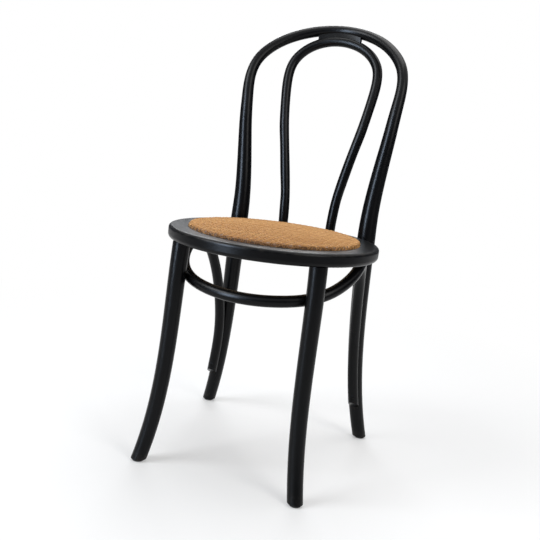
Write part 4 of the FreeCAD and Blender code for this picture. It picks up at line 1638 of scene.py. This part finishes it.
@dataclass(frozen=True)
class ScrewForm:
    """A countersunk wood screw with a tapered cross recess, a plain neck and a coarse thread."""

    length: float
    head_radius: float = 4.3 * MM
    edge_break: float = 0.15 * MM
    edge_height: float = 0.12 * MM
    land: float = 0.5 * MM
    head_depth: float = 3.3 * MM
    neck_share: float = 0.22
    neck_thinning: float = 0.9
    shank_radius: float = 2.25 * MM
    thread_gap: float = 0.3 * MM
    thread_pitch: float = 2.0 * MM
    thread_depth: float = 0.65 * MM
    point: float = 5.0 * MM
    tip_cut: float = 0.05 * MM
    around: int = 28
    recess_around: int = 96

    # The height of each row of the recess, the reach of its arms and half their width.
    CROSS_ROWS = (
        (-0.35 * MM, 2.6 * MM, 0.53 * MM),
        (1.93 * MM, 1.1 * MM, 0.36 * MM),
        (2.41 * MM, 0.3 * MM, 0.2 * MM),
    )

    def build(self) -> Piece:
        """Makes the screw, with its recess cut.

        Returns:
            The screw as an object of its own, which isn't in the scene.
        """
        neck = self.shank_radius * self.neck_thinning
        neck_end = self.head_depth + self.neck_share * self.length
        rows = [
            round_row(0.0, self.head_radius - self.edge_break),
            round_row(self.edge_height, self.head_radius),
            round_row(self.land, self.head_radius),
            round_row(self.head_depth, neck),
            round_row(neck_end, neck),
        ]
        rows += thread_rows(
            neck_end + self.thread_gap, self.length - self.tip_cut,
            self.shank_radius, self.thread_depth, self.thread_pitch, self.point,
        )
        screw = bpy.data.objects.new("wood_screw", rowed_mesh("wood_screw", rows, self.around))
        recess = bpy.data.objects.new("cross_recess", self.recess())
        for held in (screw, recess):
            bpy.context.scene.collection.objects.link(held)
        cut = screw.modifiers.new("recess", "BOOLEAN")
        cut.object = recess
        cut.operation = "DIFFERENCE"
        cut.solver = "EXACT"
        apply_modifiers(screw)
        bpy.data.objects.remove(recess)
        bpy.context.scene.collection.objects.unlink(screw)
        return screw

    def recess(self) -> Mesh:
        """Returns the tapered cross that is cut from the head."""
        rows = [self.cross_row(*numbers) for numbers in self.CROSS_ROWS]
        return rowed_mesh("cross_recess", rows, self.recess_around)

    @staticmethod
    def cross_row(height: float, span: float, width: float) -> Row:
        """Makes a row in the shape of a cross.

        Args:
            height: where it lies.
            span: how far its arms reach.
            width: half the width of an arm.

        Returns:
            The row.
        """
        least = 1e-6

        def radius(angle: float) -> float:
            """Returns the outline's radius at an angle."""
            c, s = max(abs(math.cos(angle)), least), max(abs(math.sin(angle)), least)
            return max(min(span / c, width / s), min(span / s, width / c))

        return height, radius


@dataclass(frozen=True)
class BoltForm:
    """A carriage bolt, with a mushroom head, a square neck and a machine thread, and the nut for it."""

    radius: float = 4.0 * MM
    head_radius: float = 9.0 * MM
    head_height: float = 4.4 * MM
    neck_length: float = 4.0 * MM
    thread_length: float = 22.0 * MM
    thread_gap: float = 0.1 * MM
    thread_pitch: float = 1.25 * MM
    thread_depth: float = 0.62 * MM
    tip: float = 3.0 * MM
    tip_cut: float = 1.0 * MM
    nut_half: float = 6.5 * MM
    nut_thickness: float = 6.4 * MM
    nut_rounding: float = 1.075
    nut_edge: float = 0.6 * MM
    bore_room: float = 0.12 * MM
    dome_rows: int = 12
    around: int = 48

    def square(self, angle: float) -> float:
        """Returns the radius of the square neck at an angle."""
        return self.radius / max(abs(math.cos(angle)), abs(math.sin(angle)))

    def build(self, length: float) -> Piece:
        """Makes the bolt.

        Args:
            length: from the top of the dome to the tip.

        Returns:
            The bolt as an object of its own, which isn't in the scene.
        """
        sphere = (self.head_radius**2 + self.head_height**2) / (2 * self.head_height)
        rows = []
        for k in range(1, self.dome_rows + 1):
            height = self.head_height * (k / self.dome_rows) ** 2
            rows.append(round_row(height, math.sqrt(sphere**2 - (sphere - height) ** 2)))
        neck_end = self.head_height + self.neck_length
        rows += [(self.head_height, self.square), (neck_end, self.square), round_row(neck_end, self.radius)]
        start = length - self.thread_length
        end = length - self.tip_cut
        rows.append(round_row(start - self.thread_gap, self.radius))
        rows += thread_rows(start, end, self.radius, self.thread_depth, self.thread_pitch)
        rows.append(round_row(length, self.radius - self.tip_cut))
        return bpy.data.objects.new("carriage_bolt", rowed_mesh("carriage_bolt", rows, self.around))

    def hexagon(self, most: float) -> Outline:
        """Makes the nut's six-sided outline, rounded where it passes a radius.

        Args:
            most: that radius.

        Returns:
            The outline.
        """
        sixth = math.pi / 3

        def radius(angle: float) -> float:
            """Returns the outline's radius at an angle."""
            part = (angle + sixth / 2) % sixth - sixth / 2
            return min(self.nut_half / math.cos(sixth / 2 - abs(part)), most)

        return radius

    def nut(self) -> Piece:
        """Makes the nut, from its seat at the origin up the Z axis.

        Returns:
            The nut as an object of its own, which isn't in the scene.
        """
        tall = self.nut_thickness
        bore = self.radius + self.bore_room
        rounded, full = self.hexagon(self.nut_half * self.nut_rounding), self.hexagon(2 * self.nut_half)
        rows = [(0.0, rounded), (self.nut_edge, full), (tall - self.nut_edge, full), (tall, rounded)]
        heights = [height for height, _ in thread_rows(0.0, tall, bore, 0.0, self.thread_pitch)]
        rows += [round_row(height, bore) for height in reversed(heights)]
        return bpy.data.objects.new("hex_nut", rowed_mesh("hex_nut", rows, self.around, ring=True))


@dataclass
class Hardware:
    """Screws, bolts, staples, nails and glides."""

    effects: Effects
    screw_roll: float = 1.5
    bolt_seed: int = 1
    length_digits: int = 4

    PAINTED = Metal((0.005, 0.005, 0.006, 1.0), (0.014, 0.013, 0.012, 1.0), 0.0, 0.36, 0.15)
    ZINC = Metal((0.560, 0.550, 0.520, 1.0), (0.200, 0.180, 0.150, 1.0), 1.0, 0.26)
    SCREWS = (
        ("crest_screws", Steel.PAINTED),
        ("front_leg_screws", Steel.PAINTED),
        ("brace_front_screws", Steel.PAINTED),
        ("brace_ring_screws", Steel.PAINTED),
        ("brace_rear_screws", Steel.PAINTED),
        ("inner_bow_screws", Steel.PAINTED),
        ("seat_screws", Steel.ZINC),
    )

    def build(self) -> None:
        """Dresses the plain fasteners and sets the threaded ones."""
        metals = {
            Steel.PAINTED: self.PAINTED.material("painted_steel"),
            Steel.ZINC: self.ZINC.material("zinc_steel"),
        }
        for node in ("rear_leg_washers", "cover_staples", "glide_nails"):
            dress(node, metals[Steel.ZINC])
        dress("foot_glides", MouldedPlastic(self.effects).material("glide_plastic"))
        fasteners = FastenerSet(metals)
        self.set_screws(fasteners)
        self.set_bolts(fasteners)

    def set_screws(self, fasteners: FastenerSet) -> None:
        """Sets a threaded screw at every place that has a plain one.

        Args:
            fasteners: what sets them.
        """
        forms = {}
        for seed, (node, steel) in enumerate(self.SCREWS):
            places = fastener_places(node)
            length = round(places[0].length, self.length_digits)
            if length not in forms:
                forms[length] = ScrewForm(length).build()
            name = node.replace("screws", "wood_screws")
            fasteners.place(FastenerJob(node, name, steel, self.screw_roll, seed), forms[length], places)
        for form in forms.values():
            bpy.data.objects.remove(form)

    def set_bolts(self, fasteners: FastenerSet) -> None:
        """Sets the carriage bolts, whose square necks keep their turn, and the nuts at their ends.

        Args:
            fasteners: what sets them.
        """
        form = BoltForm()
        bolts = fastener_places("rear_leg_bolts")
        bolt = form.build(bolts[0].length)
        job = FastenerJob("rear_leg_bolts", "carriage_bolts", Steel.PAINTED, 0.0, self.bolt_seed)
        fasteners.place(job, bolt, bolts)
        nuts = []
        for place in bolts:
            seat = place.head + place.along * (place.length - form.tip - form.nut_thickness)
            nuts.append(FastenerPlace(seat, place.along, form.nut_thickness))
        nut = form.nut()
        fasteners.place(FastenerJob("rear_leg_nuts", "hex_nuts", Steel.ZINC, 0.0, self.bolt_seed), nut, nuts)
        for held in (bolt, nut):
            bpy.data.objects.remove(held)


@dataclass(frozen=True)
class Lamp:
    """One soft lamp of the studio."""

    name: str
    place: Triple
    size: tuple[float, float]
    power: float
    tint: Triple = (1.0, 1.0, 1.0)


@dataclass
class Studio:
    """A pale floor, soft lamps and a white ground behind them, round a set of dark curtains."""

    floor_half: float = 7.0
    floor_pale: float = 0.35
    floor_white: float = 1.5
    floor_share: float = 0.30
    curtain_radius: float = 3.0
    curtain_height: float = 1.9
    curtain_steps: int = 48
    strip_half: float = 0.34
    strip_low: float = 0.25
    strip_high: float = 1.85
    strip_place: tuple[float, float] = (-1.15, -2.05)
    strip_strength: float = 26.0
    even_strength: float = 0.32

    FLOOR_COLOUR = (0.80, 0.80, 0.80, 1.0)
    CURTAIN_COLOUR = (0.16, 0.165, 0.18, 1.0)
    STRIP_COLOUR = (0.66, 0.80, 1.0, 1.0)
    EVEN_COLOUR = (0.95, 0.97, 1.0, 1.0)
    WHITE = (1, 1, 1, 1)
    LAMPS = (
        Lamp("key", (-1.7, -1.5, 2.1), (1.3, 1.3), 46.0, (0.94, 0.97, 1.0)),
        Lamp("fill", (1.9, -0.9, 1.6), (1.0, 1.6), 20.0, (1.0, 0.98, 0.96)),
        Lamp("top", (0.1, 0.4, 2.5), (1.6, 1.6), 30.0),
        Lamp("back", (-0.9, 2.0, 1.7), (1.4, 0.9), 24.0, (0.96, 0.98, 1.0)),
    )

    def build(self) -> None:
        """Builds the floor, the curtains, the strip, the lamps and the world."""
        self.build_floor()
        self.build_curtains()
        self.build_strip()
        for lamp in self.LAMPS:
            self.build_lamp(lamp)
        self.build_world()
        LOG.info("studio: %d lamps", len(self.LAMPS))

    @staticmethod
    def white_rays(sketch: Sketch) -> Socket:
        """Marks the rays that show the white ground.

        Args:
            sketch: the sketch of the floor or the world.

        Returns:
            1 for those rays, and 0 for all others.
        """
        rays = sketch.node("ShaderNodeLightPath").outputs
        seen = sketch.math("MAXIMUM", rays["Is Camera Ray"], rays["Is Glossy Ray"])
        return sketch.math("MAXIMUM", seen, rays["Is Transmission Ray"])

    @staticmethod
    def staged(
        name: str, points: list[tuple[float, ...]], faces: list[tuple[int, ...]],
        material: Material, smooth: bool = False,
    ) -> Piece:
        """Makes a surface of the studio, which isn't part of the chair.

        Args:
            name: its name.
            points: its corners.
            faces: its faces.
            material: its finish.
            smooth: whether its faces are shaded smooth.

        Returns:
            The surface.
        """
        mesh = bpy.data.meshes.new(name)
        mesh.from_pydata(points, [], faces)
        piece = new_piece(name, mesh, material, smooth)
        return piece

    @staticmethod
    def only_reflected(piece: Piece) -> None:
        """Hides a surface from all but reflections.

        Args:
            piece: the surface.
        """
        piece.visible_camera = False
        piece.visible_diffuse = False
        piece.visible_shadow = False

    @staticmethod
    def one_shader(name: str, kind: str, values: Values) -> Material:
        """Makes a material of a single shader.

        Args:
            name: the material's name.
            kind: the shader's type.
            values: what its inputs get.

        Returns:
            The material.
        """
        made, sketch = bare_material(name)
        sketch.node("ShaderNodeOutputMaterial", {"Surface": sketch.result(kind, values)})
        return made

    def build_floor(self) -> None:
        """Makes the floor, pale under the chair and white further out."""
        material, sketch = bare_material("pale_floor")
        x, y, _ = sketch.parts(sketch.object_place())
        away = sketch.length(sketch.joined(x, y, 0.0))
        matt = sketch.result("ShaderNodeBsdfDiffuse", {"Color": self.FLOOR_COLOUR})
        white = sketch.result("ShaderNodeEmission", {"Color": self.WHITE, "Strength": 1.0})
        paler = sketch.fade(away, self.floor_pale, self.floor_white, low=self.floor_share)
        share = sketch.times(self.white_rays(sketch), paler)
        surface = sketch.result("ShaderNodeMixShader", {0: share, 1: matt, 2: white})
        sketch.node("ShaderNodeOutputMaterial", {"Surface": surface})
        half = self.floor_half
        corners = [(-half, -half, 0), (half, -half, 0), (half, half, 0), (-half, half, 0)]
        self.staged("floor", corners, [(0, 1, 2, 3)], material)

    def build_curtains(self) -> None:
        """Makes the dark curtains that black lacquer reflects, open above and unseen by the camera."""
        radius, steps = self.curtain_radius, self.curtain_steps
        angles = [2 * math.pi * k / steps for k in range(steps)]
        points = [
            (radius * math.sin(angle), radius * math.cos(angle), z)
            for z in (0.0, self.curtain_height) for angle in angles
        ]
        faces = [(k, (k + 1) % steps, steps + (k + 1) % steps, steps + k) for k in range(steps)]
        cloth = self.one_shader("curtain_cloth", "ShaderNodeBsdfDiffuse", {"Color": self.CURTAIN_COLOUR})
        self.only_reflected(self.staged("curtains", points, faces, cloth, smooth=True))

    def build_strip(self) -> None:
        """Makes the tall bright strip that only shows as a cool line down the lacquered rods."""
        foot = Vector((*self.strip_place, 0.0))
        side = Vector((-foot.y, foot.x, 0.0)).normalized() * self.strip_half
        low, high = self.strip_low, self.strip_high
        corners = ((foot - side, low), (foot + side, low), (foot + side, high), (foot - side, high))
        points = [(place.x, place.y, height) for place, height in corners]
        glow = {"Color": self.STRIP_COLOUR, "Strength": self.strip_strength}
        light = self.one_shader("strip_light", "ShaderNodeEmission", glow)
        self.only_reflected(self.staged("strip", points, [(0, 1, 2, 3)], light))

    @staticmethod
    def build_lamp(lamp: Lamp) -> None:
        """Hangs one lamp and turns it to the chair.

        Args:
            lamp: the lamp.
        """
        low, high = CAD_BOX
        light = bpy.data.lights.new(lamp.name, "AREA")
        light.shape = "RECTANGLE"
        light.size, light.size_y = lamp.size
        light.energy = lamp.power
        light.color = lamp.tint
        hung = bpy.data.objects.new(lamp.name, light)
        hung.location = lamp.place
        hung.rotation_euler = ((low + high) / 2 - Vector(lamp.place)).to_track_quat("-Z", "Y").to_euler()
        bpy.context.scene.collection.objects.link(hung)

    def build_world(self) -> None:
        """Makes the white ground, and the even light that reaches the chair from it."""
        world = bpy.data.worlds.new("studio")
        bpy.context.scene.world = world
        world.use_nodes = True
        world.node_tree.nodes.clear()
        sketch = Sketch(world.node_tree)
        light = {"Color": self.EVEN_COLOUR, "Strength": self.even_strength}
        even = sketch.result("ShaderNodeBackground", light)
        white = sketch.result("ShaderNodeBackground", {"Color": self.WHITE, "Strength": 1.0})
        both = sketch.result("ShaderNodeMixShader", {0: self.white_rays(sketch), 1: even, 2: white})
        sketch.node("ShaderNodeOutputWorld", {"Surface": both})


@dataclass(frozen=True)
class PhotoCamera:
    """The camera at the photograph's viewing angle, with its slight roll."""

    place: Triple = (0.4708, -1.4077, 0.6422)
    aim: Triple = (0.022, -0.113, 0.392)
    roll: float = math.radians(6.9)
    lens: float = 49.0
    clip_start: float = 0.05

    def build(self) -> None:
        """Makes the camera and gives it to the scene."""
        camera = bpy.data.cameras.new("photo_camera")
        camera.lens = self.lens
        camera.clip_start = self.clip_start
        holder = bpy.data.objects.new("photo_camera", camera)
        holder.location = self.place
        looking = (Vector(self.aim) - Vector(self.place)).to_track_quat("-Z", "Y")
        holder.rotation_mode = "QUATERNION"
        holder.rotation_quaternion = looking @ Matrix.Rotation(self.roll, 4, "Z").to_quaternion()
        bpy.context.scene.collection.objects.link(holder)
        bpy.context.scene.camera = holder


def main() -> None:
    """Builds the chair's looks in order, then the studio and the camera."""
    logging.basicConfig(level=logging.INFO, format="%(name)s: %(message)s")
    effects = Effects()
    Woodwork(effects).build()
    Hardware(effects).build()
    CaneSeat(effects).build()
    Studio().build()
    PhotoCamera().build()
    bpy.context.scene.view_settings.view_transform = "Standard"


if __name__ == "__main__":
    main()
